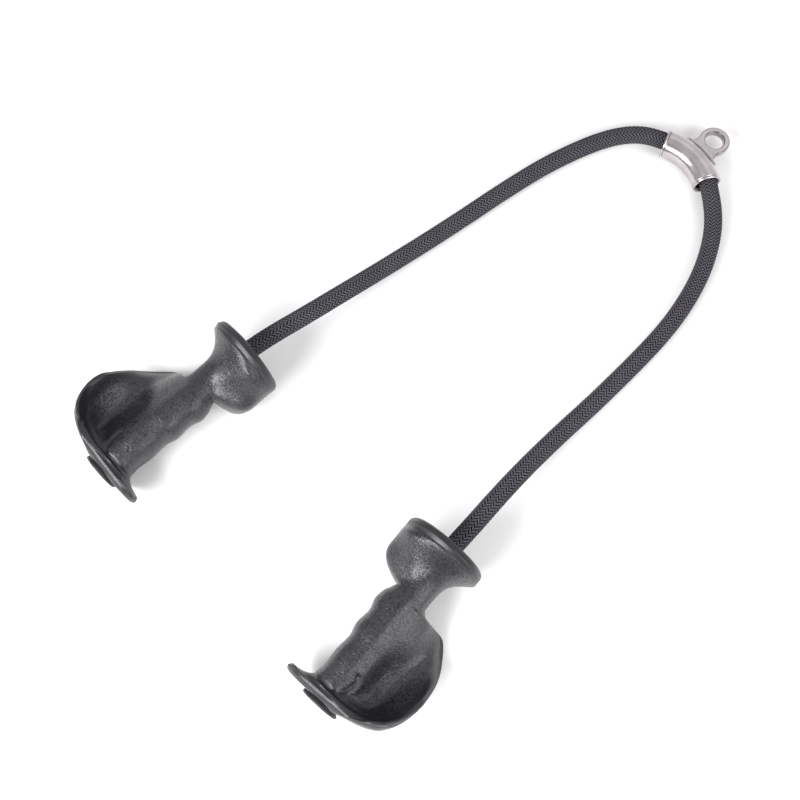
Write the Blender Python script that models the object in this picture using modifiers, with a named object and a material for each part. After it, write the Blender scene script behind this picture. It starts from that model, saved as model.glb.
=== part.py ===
"""Triceps rope attachment for a cable machine.

One braided rope runs through a curved steel sleeve that carries an eye plate. Each end of the
rope passes down a moulded, handed grip with a palm guard and is held there by a crimped
ferrule and a load washer under an end cap. The part lies on the floor the way it is put down.

+Y runs from the handles to the eye, +X to the right handle, +Z up. Lengths are in metres.
"""

import math

import bmesh
import bpy
import numpy as np
from mathutils import Matrix, Vector

MM = 0.001

# Fits between pieces
SEAT_GAP = 0.3 * MM
CUT_OVERRUN = 4.0 * MM

# Points nearer than these are one point
WELD_DISTANCE = 0.001 * MM
TURN_WELD_DISTANCE = 0.01 * MM

# Curved steel sleeve, bent in the horizontal plane and lying on the floor
SLEEVE_OUTER_DIAMETER = 25.4 * MM
SLEEVE_WALL = 2.0 * MM
SLEEVE_BEND_RADIUS = 59.4 * MM
SLEEVE_BEND_ANGLE = math.radians(52)
SLEEVE_RADIUS = SLEEVE_OUTER_DIAMETER / 2
SLEEVE_BORE_RADIUS = SLEEVE_RADIUS - SLEEVE_WALL
SLEEVE_STEPS = 14
SLEEVE_SIDES_RESOLUTION = 8

# Rope, thinner than the sleeve's bore by a clearance all round
ROPE_CLEARANCE = 2.7 * MM
ROPE_RADIUS = SLEEVE_BORE_RADIUS - ROPE_CLEARANCE
ROPE_DIAMETER = 2 * ROPE_RADIUS
ROPE_SPACING_SHARE = 1.5
ROPE_POINT_SPACING = ROPE_SPACING_SHARE * ROPE_DIAMETER
ROPE_SIDES_RESOLUTION = 3
# Rounded end of a leg: how far out its rings lie and how wide they are, as shares of the radius
DOME_DEPTH_SHARES = (1.0, 0.9, 0.65, 0.35)
DOME_RADIUS_SHARES = tuple(math.sqrt(1 - share ** 2) for share in (0.98, 0.9, 0.65, 0.35))
# The stiff rope presses outwards in the bend, so it runs a little outside the sleeve's centre.
ROPE_LEAN = 2.0 * MM

# Eye plate on the outside of the bend
EYE_HOLE_DIAMETER = 17.4 * MM
EYE_RIM_WIDTH = 5.1 * MM
EYE_REACH = 29.5 * MM
EYE_PLATE_THICKNESS = 6.6 * MM
EYE_ROOT_WIDTH = 31.0 * MM
EYE_EDGE_ROUNDING = 0.8 * MM
EYE_ARC_STEPS = 26
EYE_FLARE_STEPS = 7
WELD_RADIUS = 1.1 * MM

# Where the bracket lies: the apex of the sleeve's centre line, and the way the eye points
BRACKET_APEX = (21.2 * MM, 349.6 * MM)
BRACKET_HEADING = math.radians(84)

# Handle, along its bore axis from the flange face at the rope to the face of the foot plate
HANDLE_LENGTH = 152.0 * MM
FLANGE_RADIUS = 36.2 * MM
FLANGE_OFFSET = 3.4 * MM
LIP_THICKNESS = 6.5 * MM
LOBE_LENGTH = 21.0 * MM
LOBE_DIRECTION = math.radians(-140)
LOBE_WIDTH_SHARE = 1.5
LOBE_SHOULDER_SHARE = 5.0
NECK_PLACE = 47.0 * MM
TRUMPET_SHARE = 1.4
FLANGE_ROUNDING = 4.2 * MM
FOOT_ROUNDING = 1.6 * MM
GRIP_RADIUS = 18.0 * MM
FOOT_THICKNESS = 6.4 * MM
FOOT_FILLET = 7.0 * MM
FOOT_FINGER_REACH = 38.0 * MM
FOOT_TOP_REACH = 21.5 * MM
SCOOP_END_LENGTH = 12.0 * MM
GUARD_REACH = 60.0 * MM
GUARD_WALL = 5.0 * MM
GUARD_START = 51.5 * MM
GUARD_BLEND = 5.0 * MM

# How the handle lies: height of the bore axis at the flange, and its slope down to the foot
AXIS_HEIGHT = 36.9 * MM
HANDLE_SLOPE = math.radians(4.3)
HANDLE_SPLAY = math.radians(4)
LEFT_MOUTH = (-116.9 * MM, -68.0 * MM)
RIGHT_MOUTH = (119.0 * MM, -68.0 * MM)
SECTION_STEPS = 3

# Angles of the twelve points round a section, from the finger side over the top
SECTION_ANGLES = tuple(math.radians(a) for a in (180, 135, 90, 45, 8, -12, -30, -45, -60, -75, -95, -135))

# Grip outline along the handle: place, then finger, top, guard and under side radii
GRIP_SHARES = (
    (0.00, 0.78, 0.89, 0.85, 0.94),
    (0.30, 0.78, 0.89, 0.85, 0.94),
    (0.34, 0.90, 0.94, 0.89, 1.00),
    (0.39, 1.09, 1.00, 0.94, 1.08),
    (0.435, 1.14, 1.03, 0.98, 1.12),
    (0.51, 0.99, 1.02, 1.00, 1.18),
    (0.59, 1.06, 1.03, 1.00, 1.20),
    (0.67, 0.92, 1.00, 1.00, 1.20),
    (0.77, 0.98, 1.00, 1.00, 1.20),
    (0.855, 0.94, 0.97, 1.00, 1.16),
    (0.91, 1.00, 0.97, 1.00, 1.14),
    (1.00, 1.00, 0.97, 1.00, 1.14),
)

# Palm guard: place, rim reach, rim height, gutter reach, gutter height, wall reach, back height.
# Reaches are shares of GUARD_REACH, heights are shares of the axis height over the floor.
GUARD_SHARES = (
    (0.33, 0.52, -0.94, 0.30, -0.66, 0.52, -1.00),
    (0.36, 0.60, -0.92, 0.38, -0.74, 0.61, -1.00),
    (0.38, 0.66, -0.90, 0.42, -0.74, 0.66, -1.00),
    (0.44, 0.78, -0.82, 0.47, -0.70, 0.79, -1.00),
    (0.50, 0.88, -0.60, 0.49, -0.68, 0.89, -1.00),
    (0.56, 0.955, -0.20, 0.51, -0.66, 0.96, -0.98),
    (0.62, 0.99, 0.22, 0.52, -0.62, 0.99, -0.95),
    (0.68, 1.00, 0.60, 0.53, -0.58, 0.995, -0.93),
    (0.74, 0.985, 0.77, 0.53, -0.54, 0.985, -0.92),
    (0.79, 0.96, 0.86, 0.52, -0.50, 0.965, -0.92),
    (0.85, 0.895, 0.98, 0.50, -0.42, 0.91, -0.93),
    (0.88, 0.84, 1.03, 0.48, -0.34, 0.865, -0.95),
    (0.915, 0.755, 1.06, 0.45, -0.20, 0.795, -0.97),
    (0.94, 0.65, 1.05, 0.40, 0.10, 0.70, -0.98),
    (0.96, 0.52, 1.00, 0.30, 0.60, 0.60, -0.98),
    (0.977, 0.37, 0.88, 0.22, 0.80, 0.47, -0.97),
    (0.99, 0.26, 0.76, 0.17, 0.70, 0.34, -0.94),
    (1.00, 0.20, 0.64, 0.14, 0.60, 0.25, -0.90),
)

# Foot plate seen along the axis, on the finger side and over the top: shares of its finger reach
# and of its top reach, or of the axis height below the axis
FOOT_SHARES = ((-1.00, -0.06), (-0.74, 0.64), (-0.04, 0.98))
FOOT_UNDER_SHARES = ((0.02, -1.00), (-0.70, -0.62))
# Rounding of the plate's edge: place, then shares of its top reach and of its finger reach
FOOT_EDGE_SHARES = (
    (0.95, 1.00, 0.90), (0.965, 0.98, 0.98), (0.98, 0.92, 1.00), (0.99, 0.84, 0.985), (1.00, 0.76, 0.95),
)

# Stations of the loft along the handle, as shares of its length
STATION_SHARES = (
    0.0, 0.004, 0.012, 0.027, 0.045, 0.07, 0.10, 0.135, 0.17, 0.20, 0.225, 0.25, 0.273, 0.295,
    0.315, 0.335, 0.348, 0.36, 0.375, 0.40, 0.43, 0.465, 0.50, 0.54, 0.585, 0.63, 0.68, 0.73, 0.77,
    0.81, 0.84, 0.865, 0.885, 0.903, 0.92, 0.935, 0.948, 0.96, 0.971, 0.981, 0.99, 0.996, 1.0,
)

# Bore of the handle and what it holds
BORE_MOUTH_FLARE = 2.0 * MM
BORE_MOUTH_DEPTH = 3.0 * MM
LINER_WALL = 1.2 * MM
LINER_MOUTH_SETBACK = 4.5 * MM
LINER_COLLAR_WIDTH = 3.3 * MM
LINER_COLLAR_THICKNESS = 1.5 * MM
COUNTERBORE_CLEARANCE = 0.8 * MM
COUNTERBORE_DEPTH = 23.0 * MM
WASHER_THICKNESS = 2.4 * MM
WASHER_CLEARANCE = 0.5 * MM
FERRULE_WALL = 2.6 * MM
FERRULE_LENGTH = 13.0 * MM
FERRULE_GROOVE = 0.7 * MM
ROPE_END_STANDOUT = 1.2 * MM
CAP_NECK_WIDTH = 1.8 * MM
CAP_HEAD_OVERHANG = 1.3 * MM
CAP_NECK_LENGTH = 0.8 * MM
CAP_HEAD_THICKNESS = 2.4 * MM
CAP_EDGE_ROUNDING = 0.8 * MM
CAP_SPIGOT_LENGTH = 2.2 * MM
CAP_SPIGOT_WALL = 1.6 * MM
TURNED_STEPS = 28
BORE_STEPS = 24

LINER_INNER_RADIUS = ROPE_RADIUS + SEAT_GAP
LINER_OUTER_RADIUS = LINER_INNER_RADIUS + LINER_WALL
BORE_RADIUS = LINER_OUTER_RADIUS + SEAT_GAP
LINER_COLLAR_RADIUS = LINER_OUTER_RADIUS + LINER_COLLAR_WIDTH
COUNTERBORE_RADIUS = LINER_COLLAR_RADIUS + COUNTERBORE_CLEARANCE
WASHER_RADIUS = COUNTERBORE_RADIUS - WASHER_CLEARANCE
CAP_NECK_RADIUS = COUNTERBORE_RADIUS + CAP_NECK_WIDTH
CAP_RADIUS = CAP_NECK_RADIUS + CAP_HEAD_OVERHANG

# Routes of the two free rope legs, from the sleeve to the handle, chosen by hand. The third
# number is the height of the rope's underside over the floor.
# The first and last points of each leg are worked out from the sleeve and the handle.
LEFT_ROUTE = (
    (-17.3 * MM, 344.9 * MM, 3.9 * MM), (-27.6 * MM, 340.3 * MM, 2.7 * MM),
    (-42.5 * MM, 324.6 * MM, 1.2 * MM), (-53.2 * MM, 304.8 * MM, 0.4 * MM),
    (-61.2 * MM, 283.4 * MM, 0.2 * MM), (-70.7 * MM, 250.1 * MM, 0.2 * MM),
    (-79.2 * MM, 204.8 * MM, 0.2 * MM), (-86.1 * MM, 159.6 * MM, 0.2 * MM),
    (-93.2 * MM, 115.4 * MM, 1.0 * MM), (-99.7 * MM, 71.5 * MM, 5.0 * MM),
    (-104.6 * MM, 28.2 * MM, 14.0 * MM), (-108.9 * MM, -14.0 * MM, 24.0 * MM),
    (-113.3 * MM, -45.0 * MM, 29.2 * MM),
)
RIGHT_ROUTE = (
    (55.0 * MM, 336.6 * MM, 4.0 * MM), (71.3 * MM, 322.4 * MM, 2.4 * MM),
    (85.6 * MM, 303.4 * MM, 1.2 * MM), (96.3 * MM, 282.4 * MM, 0.3 * MM),
    (104.3 * MM, 260.0 * MM, 0.2 * MM), (109.7 * MM, 237.1 * MM, 0.2 * MM),
    (113.3 * MM, 214.2 * MM, 0.2 * MM), (115.2 * MM, 180.0 * MM, 0.2 * MM),
    (114.8 * MM, 114.6 * MM, 0.6 * MM), (113.4 * MM, 71.0 * MM, 4.5 * MM),
    (113.6 * MM, 28.0 * MM, 13.5 * MM), (115.4 * MM, -8.0 * MM, 22.5 * MM),
    (118.0 * MM, -42.0 * MM, 29.2 * MM),
)

# The point on the floor that becomes the origin: the middle of the metal and the handles
LAYOUT_CENTRE = (1.05 * MM, 84.2 * MM)


def clear_scene():
    """Remove what the file already holds."""
    for old in list(bpy.data.objects):
        bpy.data.objects.remove(old, do_unlink=True)


def new_collection(name):
    """A collection in the scene, made once."""
    collection = bpy.data.collections.new(name)
    bpy.context.scene.collection.children.link(collection)
    return collection


def make_material(name, colour, roughness, metallic):
    """A plain finish for one piece."""
    material = bpy.data.materials.new(name)
    material.use_nodes = True
    shader = material.node_tree.nodes["Principled BSDF"]
    shader.inputs["Base Color"].default_value = (*colour, 1.0)
    shader.inputs["Roughness"].default_value = roughness
    shader.inputs["Metallic"].default_value = metallic
    material.diffuse_color = (*colour, 1.0)
    return material


def rubber(name):
    return make_material(name, (0.035, 0.035, 0.038), 0.55, 0.0)


def black_nylon(name):
    return make_material(name, (0.02, 0.02, 0.022), 0.45, 0.0)


def rope_fibre(name):
    return make_material(name, (0.06, 0.06, 0.068), 0.85, 0.0)


def satin_steel(name):
    return make_material(name, (0.62, 0.59, 0.58), 0.28, 1.0)


def zinc_steel(name):
    return make_material(name, (0.55, 0.56, 0.58), 0.4, 1.0)


def finish(obj, material, smooth_angle=math.radians(40)):
    """Give a piece its material and shade its round faces smooth."""
    obj.data.materials.clear()
    obj.data.materials.append(material)
    if obj.type == "MESH":
        obj.data.shade_smooth()
        obj.data.set_sharp_from_angle(angle=smooth_angle)
    return obj


def mesh_object(name, mesh, collection):
    obj = bpy.data.objects.new(name, mesh)
    collection.objects.link(obj)
    return obj


def as_cutter(obj):
    """Mark a helper that only cuts."""
    obj.hide_render = True
    obj.display_type = "WIRE"
    return obj


def cut(obj, cutter, operation="DIFFERENCE"):
    """Cut one piece with another, exactly."""
    boolean = obj.modifiers.new(cutter.name, "BOOLEAN")
    boolean.object = cutter
    boolean.operation = operation
    boolean.solver = "EXACT"


def turned(name, profile, steps, collection):
    """A solid turned about local Z from a closed outline of (radius, height) points."""
    mesh = bpy.data.meshes.new(name)
    points = [(radius, 0, height) for radius, height in profile]
    closed = all(radius > 0 for radius, _ in profile)
    edges = [(i, i + 1) for i in range(len(points) - 1)]
    if closed:
        edges.append((len(points) - 1, 0))
    mesh.from_pydata(points, edges, [])
    obj = mesh_object(name, mesh, collection)
    screw = obj.modifiers.new("turn", "SCREW")
    screw.axis = "Z"
    screw.angle = math.tau
    screw.steps = steps
    screw.render_steps = steps
    screw.use_merge_vertices = True
    screw.merge_threshold = TURN_WELD_DISTANCE
    return obj


def tube(name, points, radius, resolution, collection, radii=None, cyclic=False):
    """A round bar along a line of points, as a curve with a bevel and filled caps."""
    curve = bpy.data.curves.new(name, "CURVE")
    curve.dimensions = "3D"
    curve.bevel_depth = radius
    curve.bevel_resolution = resolution
    curve.use_fill_caps = not cyclic
    curve.twist_mode = "Z_UP"
    spline = curve.splines.new("POLY")
    spline.points.add(len(points) - 1)
    spline.use_cyclic_u = cyclic
    for i, point in enumerate(points):
        spline.points[i].co = (*point, 1.0)
        if radii:
            spline.points[i].radius = radii[i]
    obj = bpy.data.objects.new(name, curve)
    collection.objects.link(obj)
    return obj


def curve_to_mesh(obj, collection):
    """The same shape as a mesh with its caps welded, so that it can be cut."""
    depsgraph = bpy.context.evaluated_depsgraph_get()
    mesh = bpy.data.meshes.new_from_object(obj.evaluated_get(depsgraph))
    shape = bmesh.new()
    shape.from_mesh(mesh)
    bmesh.ops.remove_doubles(shape, verts=shape.verts, dist=WELD_DISTANCE)
    shape.to_mesh(mesh)
    shape.free()
    name = obj.name
    matrix = obj.matrix_world.copy()
    bpy.data.objects.remove(obj, do_unlink=True)
    solid = mesh_object(name, mesh, collection)
    solid.matrix_world = matrix
    return solid


def mix(a, b, share):
    return a + (b - a) * share


def smooth_step(low, high, value):
    """0 below low, 1 above high, with an even S between them."""
    share = min(max((value - low) / (high - low), 0), 1)
    return share * share * (3 - 2 * share)


def steady_curve(places, values, place):
    """A smooth value between listed ones that never overshoots them."""
    if place <= places[0]:
        return values[0]
    if place >= places[-1]:
        return values[-1]
    steps = [b - a for a, b in zip(places, places[1:])]
    rises = [(b - a) / step for a, b, step in zip(values, values[1:], steps)]
    slopes = [rises[0]]
    for before, after in zip(rises, rises[1:]):
        slopes.append(0 if before * after <= 0 else 2 * before * after / (before + after))
    slopes.append(rises[-1])
    i = max(k for k in range(len(steps)) if places[k] <= place)
    t = (place - places[i]) / steps[i]
    start = (1 + 2 * t) * (1 - t) ** 2 * values[i] + t * (1 - t) ** 2 * steps[i] * slopes[i]
    end = t * t * (3 - 2 * t) * values[i + 1] - t * t * (1 - t) * steps[i] * slopes[i + 1]
    return start + end


def table_row(table, place):
    """All columns of a table at one place along it."""
    places = [row[0] for row in table]
    columns = zip(*(row[1:] for row in table))
    return [steady_curve(places, list(column), place) for column in columns]


def spline_point(p0, p1, p2, p3, t):
    """A point on the smooth curve between p1 and p2, spaced for uneven points."""
    knots = [0]
    for a, b in ((p0, p1), (p1, p2), (p2, p3)):
        knots.append(knots[-1] + math.sqrt((b - a).length))
    at = mix(knots[1], knots[2], t)

    def blend(a, b, i, j):
        return a * ((knots[j] - at) / (knots[j] - knots[i])) + b * ((at - knots[i]) / (knots[j] - knots[i]))

    a1 = blend(p0, p1, 0, 1)
    a2 = blend(p1, p2, 1, 2)
    a3 = blend(p2, p3, 2, 3)
    return blend(blend(a1, a2, 0, 2), blend(a2, a3, 1, 3), 1, 2)


def open_smooth_line(points, spacing):
    """Points at an even spacing along the smooth curve through the given ones."""
    line = [Vector(p) for p in points]
    line = [line[0] * 2 - line[1]] + line + [line[-1] * 2 - line[-2]]
    fine = []
    for i in range(1, len(line) - 2):
        fine += [spline_point(*line[i - 1:i + 3], k / 24) for k in range(24)]
    fine.append(line[-2])
    runs = np.cumsum([0] + [(b - a).length for a, b in zip(fine, fine[1:])])
    count = max(2, round(runs[-1] / spacing))
    marks = np.linspace(0, runs[-1], count + 1)
    even = [np.interp(marks, runs, [p[axis] for p in fine]) for axis in range(3)]
    return [Vector(p) for p in zip(*even)]


def closed_smooth_line(points, steps):
    """Steps points on each span of the smooth closed curve through flat points."""
    flat = [Vector(p) for p in points]
    count = len(flat)
    line = []
    for i in range(count):
        span = [flat[(i + k) % count] for k in (-1, 0, 1, 2)]
        line += [spline_point(*span, k / steps) for k in range(steps)]
    return line


def axis_height(along):
    """Height of the bore axis over the floor, square to the axis."""
    return (AXIS_HEIGHT - along * math.sin(HANDLE_SLOPE)) / math.cos(HANDLE_SLOPE)


def grip_points(share):
    """Twelve points round the hand grip: unlike quarters of ellipses."""
    finger, top, guard, under = (value * GRIP_RADIUS for value in table_row(GRIP_SHARES, share))
    points = []
    for angle in SECTION_ANGLES:
        across = guard if math.cos(angle) > 0 else finger
        upright = top if math.sin(angle) >= 0 else under
        points.append(Vector((across * math.cos(angle), upright * math.sin(angle))))
    return points


def add_flange(points, along):
    """Swell the grip out to the round flange, with a lobe on the finger side and a thin lip."""
    swollen = []
    for point, angle in zip(points, SECTION_ANGLES):
        lean = ((1 + math.cos(angle - LOBE_DIRECTION)) / 2) ** LOBE_WIDTH_SHARE
        wall = mix(LIP_THICKNESS, LOBE_LENGTH, lean)
        fall = min(max((along - wall) / (NECK_PLACE - wall), 0), 1)
        shoulder = 1 + LOBE_SHOULDER_SHARE * lean ** 2
        share = (1 - fall ** shoulder) ** (1 + TRUMPET_SHARE * (1 - lean))
        rim = Vector((FLANGE_RADIUS * math.cos(angle) - FLANGE_OFFSET, FLANGE_RADIUS * math.sin(angle)))
        swollen.append(point.lerp(rim, share))
    return swollen


def add_guard(points, share):
    """Draw the palm side out into the guard: a gutter, a raised rim and a rounded back."""
    rim_out, rim_up, gutter_out, gutter_up, wall_out, back_up = table_row(GUARD_SHARES, share)
    height = axis_height(share * HANDLE_LENGTH)
    rim = Vector((rim_out * GUARD_REACH, rim_up * height))
    gutter = Vector((gutter_out * GUARD_REACH, gutter_up * height))
    wall = wall_out * GUARD_REACH
    back = back_up * height
    width = rim.x - gutter.x
    guard = list(points)
    guard[3] = points[3] * 0.96
    guard[4] = gutter
    guard[5] = Vector((gutter.x + 0.5 * width, mix(gutter.y, rim.y, 0.28)))
    lip = min(GUARD_WALL, width / 3)
    guard[6] = Vector((rim.x - 0.6 * lip, rim.y))
    guard[7] = Vector((rim.x, mix(rim.y, back, 0.06)))
    guard[8] = Vector((wall, mix(back, rim.y, 0.4)))
    guard[9] = Vector((mix(gutter.x, wall, 0.55), back))
    guard[10] = Vector((0, mix(points[10].y, back, 0.5)))
    grown = smooth_step(GUARD_START, GUARD_START + GUARD_BLEND, share * HANDLE_LENGTH)
    return [a.lerp(b, grown) for a, b in zip(points, guard)]


def add_foot(points, share):
    """Spread the finger side and the top to the foot plate through a fillet."""
    along = share * HANDLE_LENGTH
    face = HANDLE_LENGTH - FOOT_THICKNESS
    run = min(max((along - face + FOOT_FILLET) / FOOT_FILLET, 0), 1)
    spread = mix(run ** 2, 1 - math.sqrt(1 - run * run), 0.6)
    filled = smooth_step(face - SCOOP_END_LENGTH, face, along)
    top_share, finger_share = table_row(FOOT_EDGE_SHARES, share)
    top = FOOT_TOP_REACH * top_share
    finger = FOOT_FINGER_REACH * finger_share
    height = axis_height(along)
    foot = list(points)
    for i, (across, up) in enumerate(FOOT_SHARES):
        goal = Vector((across * finger, up * (top if up > 0 else height)))
        foot[i] = points[i].lerp(goal, spread)
    for i, (across, up) in enumerate(FOOT_UNDER_SHARES):
        goal = Vector((across * finger, up * height))
        foot[10 + i] = points[10 + i].lerp(goal, spread)
    rim = points[6]
    edge = Vector((foot[2].x, max(top, 0)))
    for i, place in ((3, 0.35), (4, 0.65), (5, 0.85)):
        foot[i] = points[i].lerp(edge.lerp(rim, place), filled)
    return foot


def round_ends(points, along):
    """Draw the outline in near either end face, for a rounded edge."""
    for depth, rounding in ((along, FLANGE_ROUNDING), (HANDLE_LENGTH - along, FOOT_ROUNDING)):
        if depth < rounding:
            inset = rounding - math.sqrt(rounding ** 2 - (rounding - depth) ** 2)
            points = [point * (1 - inset / point.length) for point in points]
    return points


def handle_section(share):
    """The closed outline of the handle across its axis at one place."""
    along = share * HANDLE_LENGTH
    points = add_flange(grip_points(share), along)
    points = add_guard(points, share)
    points = add_foot(points, share)
    points = round_ends(points, along)
    lowest = -axis_height(along)
    outline = closed_smooth_line(points, SECTION_STEPS)
    return [Vector((p.x, max(p.y, lowest))) for p in outline]


def handle_grip(name, side, collection, cutters):
    """The moulded grip: a loft from flange to foot, bored for the rope and its end fittings."""
    shape = bmesh.new()
    rings = []
    for share in STATION_SHARES:
        outline = handle_section(share)
        rings.append([shape.verts.new((side * p.x, -share * HANDLE_LENGTH, p.y)) for p in outline])
    for upper, lower in zip(rings, rings[1:]):
        for i in range(len(upper)):
            j = (i + 1) % len(upper)
            shape.faces.new((upper[i], upper[j], lower[j], lower[i]))
    shape.faces.new(rings[0])
    shape.faces.new(list(reversed(rings[-1])))
    bmesh.ops.recalc_face_normals(shape, faces=shape.faces)
    mesh = bpy.data.meshes.new(name)
    shape.to_mesh(mesh)
    shape.free()
    grip = mesh_object(name, mesh, collection)
    seat = COUNTERBORE_DEPTH - HANDLE_LENGTH
    bore = turned(name + "_bore", (
        (0, CUT_OVERRUN),
        (BORE_RADIUS + BORE_MOUTH_FLARE, CUT_OVERRUN),
        (BORE_RADIUS + BORE_MOUTH_FLARE, 0),
        (BORE_RADIUS, -BORE_MOUTH_DEPTH),
        (BORE_RADIUS, seat),
        (COUNTERBORE_RADIUS, seat),
        (COUNTERBORE_RADIUS, -HANDLE_LENGTH - CUT_OVERRUN),
        (0, -HANDLE_LENGTH - CUT_OVERRUN),
    ), BORE_STEPS, cutters)
    cut(grip, as_cutter(bore))
    return finish(grip, rubber(name), math.radians(50)), bore


def bore_liner(name, collection):
    """Thin rigid liner of the bore, with a collar that carries the washer."""
    seat = COUNTERBORE_DEPTH - HANDLE_LENGTH + SEAT_GAP
    collar_top = seat - SEAT_GAP - LINER_COLLAR_THICKNESS
    top = -LINER_MOUTH_SETBACK
    liner = turned(name, (
        (LINER_INNER_RADIUS, top),
        (LINER_OUTER_RADIUS, top),
        (LINER_OUTER_RADIUS, seat - 2 * SEAT_GAP),
        (LINER_COLLAR_RADIUS, seat - 2 * SEAT_GAP),
        (LINER_COLLAR_RADIUS, collar_top),
        (LINER_INNER_RADIUS, collar_top),
    ), TURNED_STEPS, collection)
    return finish(liner, black_nylon(name))


def washer_top():
    """Where the load washer's upper face lies under the liner's collar."""
    return COUNTERBORE_DEPTH - HANDLE_LENGTH - SEAT_GAP - LINER_COLLAR_THICKNESS - SEAT_GAP


def load_washer(name, collection):
    """Flat steel washer that spreads the pull of the rope end."""
    top = washer_top()
    washer = turned(name, (
        (LINER_INNER_RADIUS, top),
        (WASHER_RADIUS, top),
        (WASHER_RADIUS, top - WASHER_THICKNESS),
        (LINER_INNER_RADIUS, top - WASHER_THICKNESS),
    ), TURNED_STEPS, collection)
    return finish(washer, zinc_steel(name))


def rope_ferrule(name, collection):
    """Crimped ring on the rope end, with two pressed grooves."""
    top = washer_top() - WASHER_THICKNESS - SEAT_GAP
    outer = LINER_INNER_RADIUS + FERRULE_WALL
    profile = [(LINER_INNER_RADIUS, top), (outer, top)]
    for place in (0.2, 0.6):
        start = top - place * FERRULE_LENGTH
        step = 0.1 * FERRULE_LENGTH
        profile += [(outer, start), (outer - FERRULE_GROOVE, start - step / 2)]
        profile += [(outer - FERRULE_GROOVE, start - step * 1.5), (outer, start - step * 2)]
    profile += [(outer, top - FERRULE_LENGTH), (LINER_INNER_RADIUS, top - FERRULE_LENGTH)]
    ferrule = turned(name, profile, TURNED_STEPS, collection)
    return finish(ferrule, zinc_steel(name))


def end_cap(name, collection):
    """Push-in cap on the foot: a rounded head, a short neck and a hollow spigot."""
    face = -HANDLE_LENGTH - SEAT_GAP
    inner = face - CAP_NECK_LENGTH
    outer = inner - CAP_HEAD_THICKNESS
    spigot = COUNTERBORE_RADIUS - SEAT_GAP
    rounding = CAP_EDGE_ROUNDING
    cap = turned(name, (
        (0, face),
        (spigot - CAP_SPIGOT_WALL, face),
        (spigot - CAP_SPIGOT_WALL, face + CAP_SPIGOT_LENGTH),
        (spigot, face + CAP_SPIGOT_LENGTH),
        (spigot, face),
        (CAP_NECK_RADIUS, face),
        (CAP_NECK_RADIUS, inner),
        (CAP_RADIUS - rounding, inner),
        (CAP_RADIUS - 0.3 * rounding, inner - 0.3 * rounding),
        (CAP_RADIUS, inner - rounding),
        (CAP_RADIUS, outer + rounding),
        (CAP_RADIUS - 0.3 * rounding, outer + 0.3 * rounding),
        (CAP_RADIUS - rounding, outer),
        (0, outer),
    ), TURNED_STEPS, collection)
    return finish(cap, black_nylon(name))


def rope_end_place():
    """How far down the bore the rope's cut end lies."""
    below = washer_top() - WASHER_THICKNESS - SEAT_GAP - FERRULE_LENGTH
    return below - ROPE_END_STANDOUT


def rope_tail(name, collection):
    """The stretch of rope inside the handle."""
    start = -ROPE_RADIUS - SEAT_GAP
    end = rope_end_place()
    tail = tube(name, ((0, start, 0), (0, end, 0)), ROPE_RADIUS, ROPE_SIDES_RESOLUTION, collection)
    return finish(tail, rope_fibre(name))


def bracket_point(angle, radius, height=0):
    """A point at an angle from the eye's heading, about the sleeve's bend centre."""
    apex = Vector((*BRACKET_APEX, SLEEVE_RADIUS))
    heading = Vector((math.cos(BRACKET_HEADING), math.sin(BRACKET_HEADING), 0))
    centre = apex - heading * SLEEVE_BEND_RADIUS
    turn = BRACKET_HEADING + angle
    return centre + Vector((radius * math.cos(turn), radius * math.sin(turn), height))


def mouth_direction(side):
    """Outward direction of the sleeve's left (1) or right (-1) mouth."""
    turn = BRACKET_HEADING + side * (SLEEVE_BEND_ANGLE / 2 + math.pi / 2)
    return Vector((math.cos(turn), math.sin(turn), 0))


def bend_line(radius, overrun=0):
    """Points along the sleeve's bend, run straight past both mouths by an overrun."""
    half = SLEEVE_BEND_ANGLE / 2
    angles = np.linspace(half, -half, SLEEVE_STEPS + 1)
    line = [bracket_point(angle, radius) for angle in angles]
    if overrun:
        line.insert(0, line[0] + mouth_direction(1) * overrun)
        line.append(line[-1] + mouth_direction(-1) * overrun)
    return line


def curved_sleeve(name, collection, cutters):
    """Bent steel tube that the rope runs through."""
    outer = tube(name, bend_line(SLEEVE_BEND_RADIUS), SLEEVE_RADIUS, SLEEVE_SIDES_RESOLUTION, collection)
    bore_line = bend_line(SLEEVE_BEND_RADIUS, CUT_OVERRUN)
    bore = tube(name + "_bore", bore_line, SLEEVE_BORE_RADIUS, SLEEVE_SIDES_RESOLUTION, cutters)
    sleeve = curve_to_mesh(outer, collection)
    cut(sleeve, as_cutter(curve_to_mesh(bore, cutters)))
    return finish(sleeve, satin_steel(name))


def eye_outline():
    """Outer line of the eye plate: a round head on concave flares, with a straight root."""
    head = EYE_HOLE_DIAMETER / 2 + EYE_RIM_WIDTH
    half_root = EYE_ROOT_WIDTH / 2
    root = SLEEVE_RADIUS / 2
    foot = SLEEVE_RADIUS * 0.93
    low = math.radians(-28)
    right = []
    for k in range(EYE_ARC_STEPS // 2 + 1):
        turn = mix(math.radians(90), low, k / (EYE_ARC_STEPS // 2))
        right.append((head * math.cos(turn), EYE_REACH + head * math.sin(turn)))
    start = Vector(right[-1])
    tangent = Vector((math.sin(low), -math.cos(low)))
    end = Vector((half_root, foot))
    reach = (end - start).length
    arrive = Vector((0.72, -0.69))
    for k in range(1, EYE_FLARE_STEPS + 1):
        t = k / EYE_FLARE_STEPS
        h1 = (1 + 2 * t) * (1 - t) ** 2
        h2 = t * (1 - t) ** 2
        h3 = t * t * (3 - 2 * t)
        h4 = -t * t * (1 - t)
        point = start * h1 + tangent * (h2 * reach) + end * h3 + arrive * (h4 * reach)
        right.append((point.x, point.y))
    right.append((half_root, root))
    left = [(-x, y) for x, y in reversed(right[1:])]
    return right + left


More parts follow.
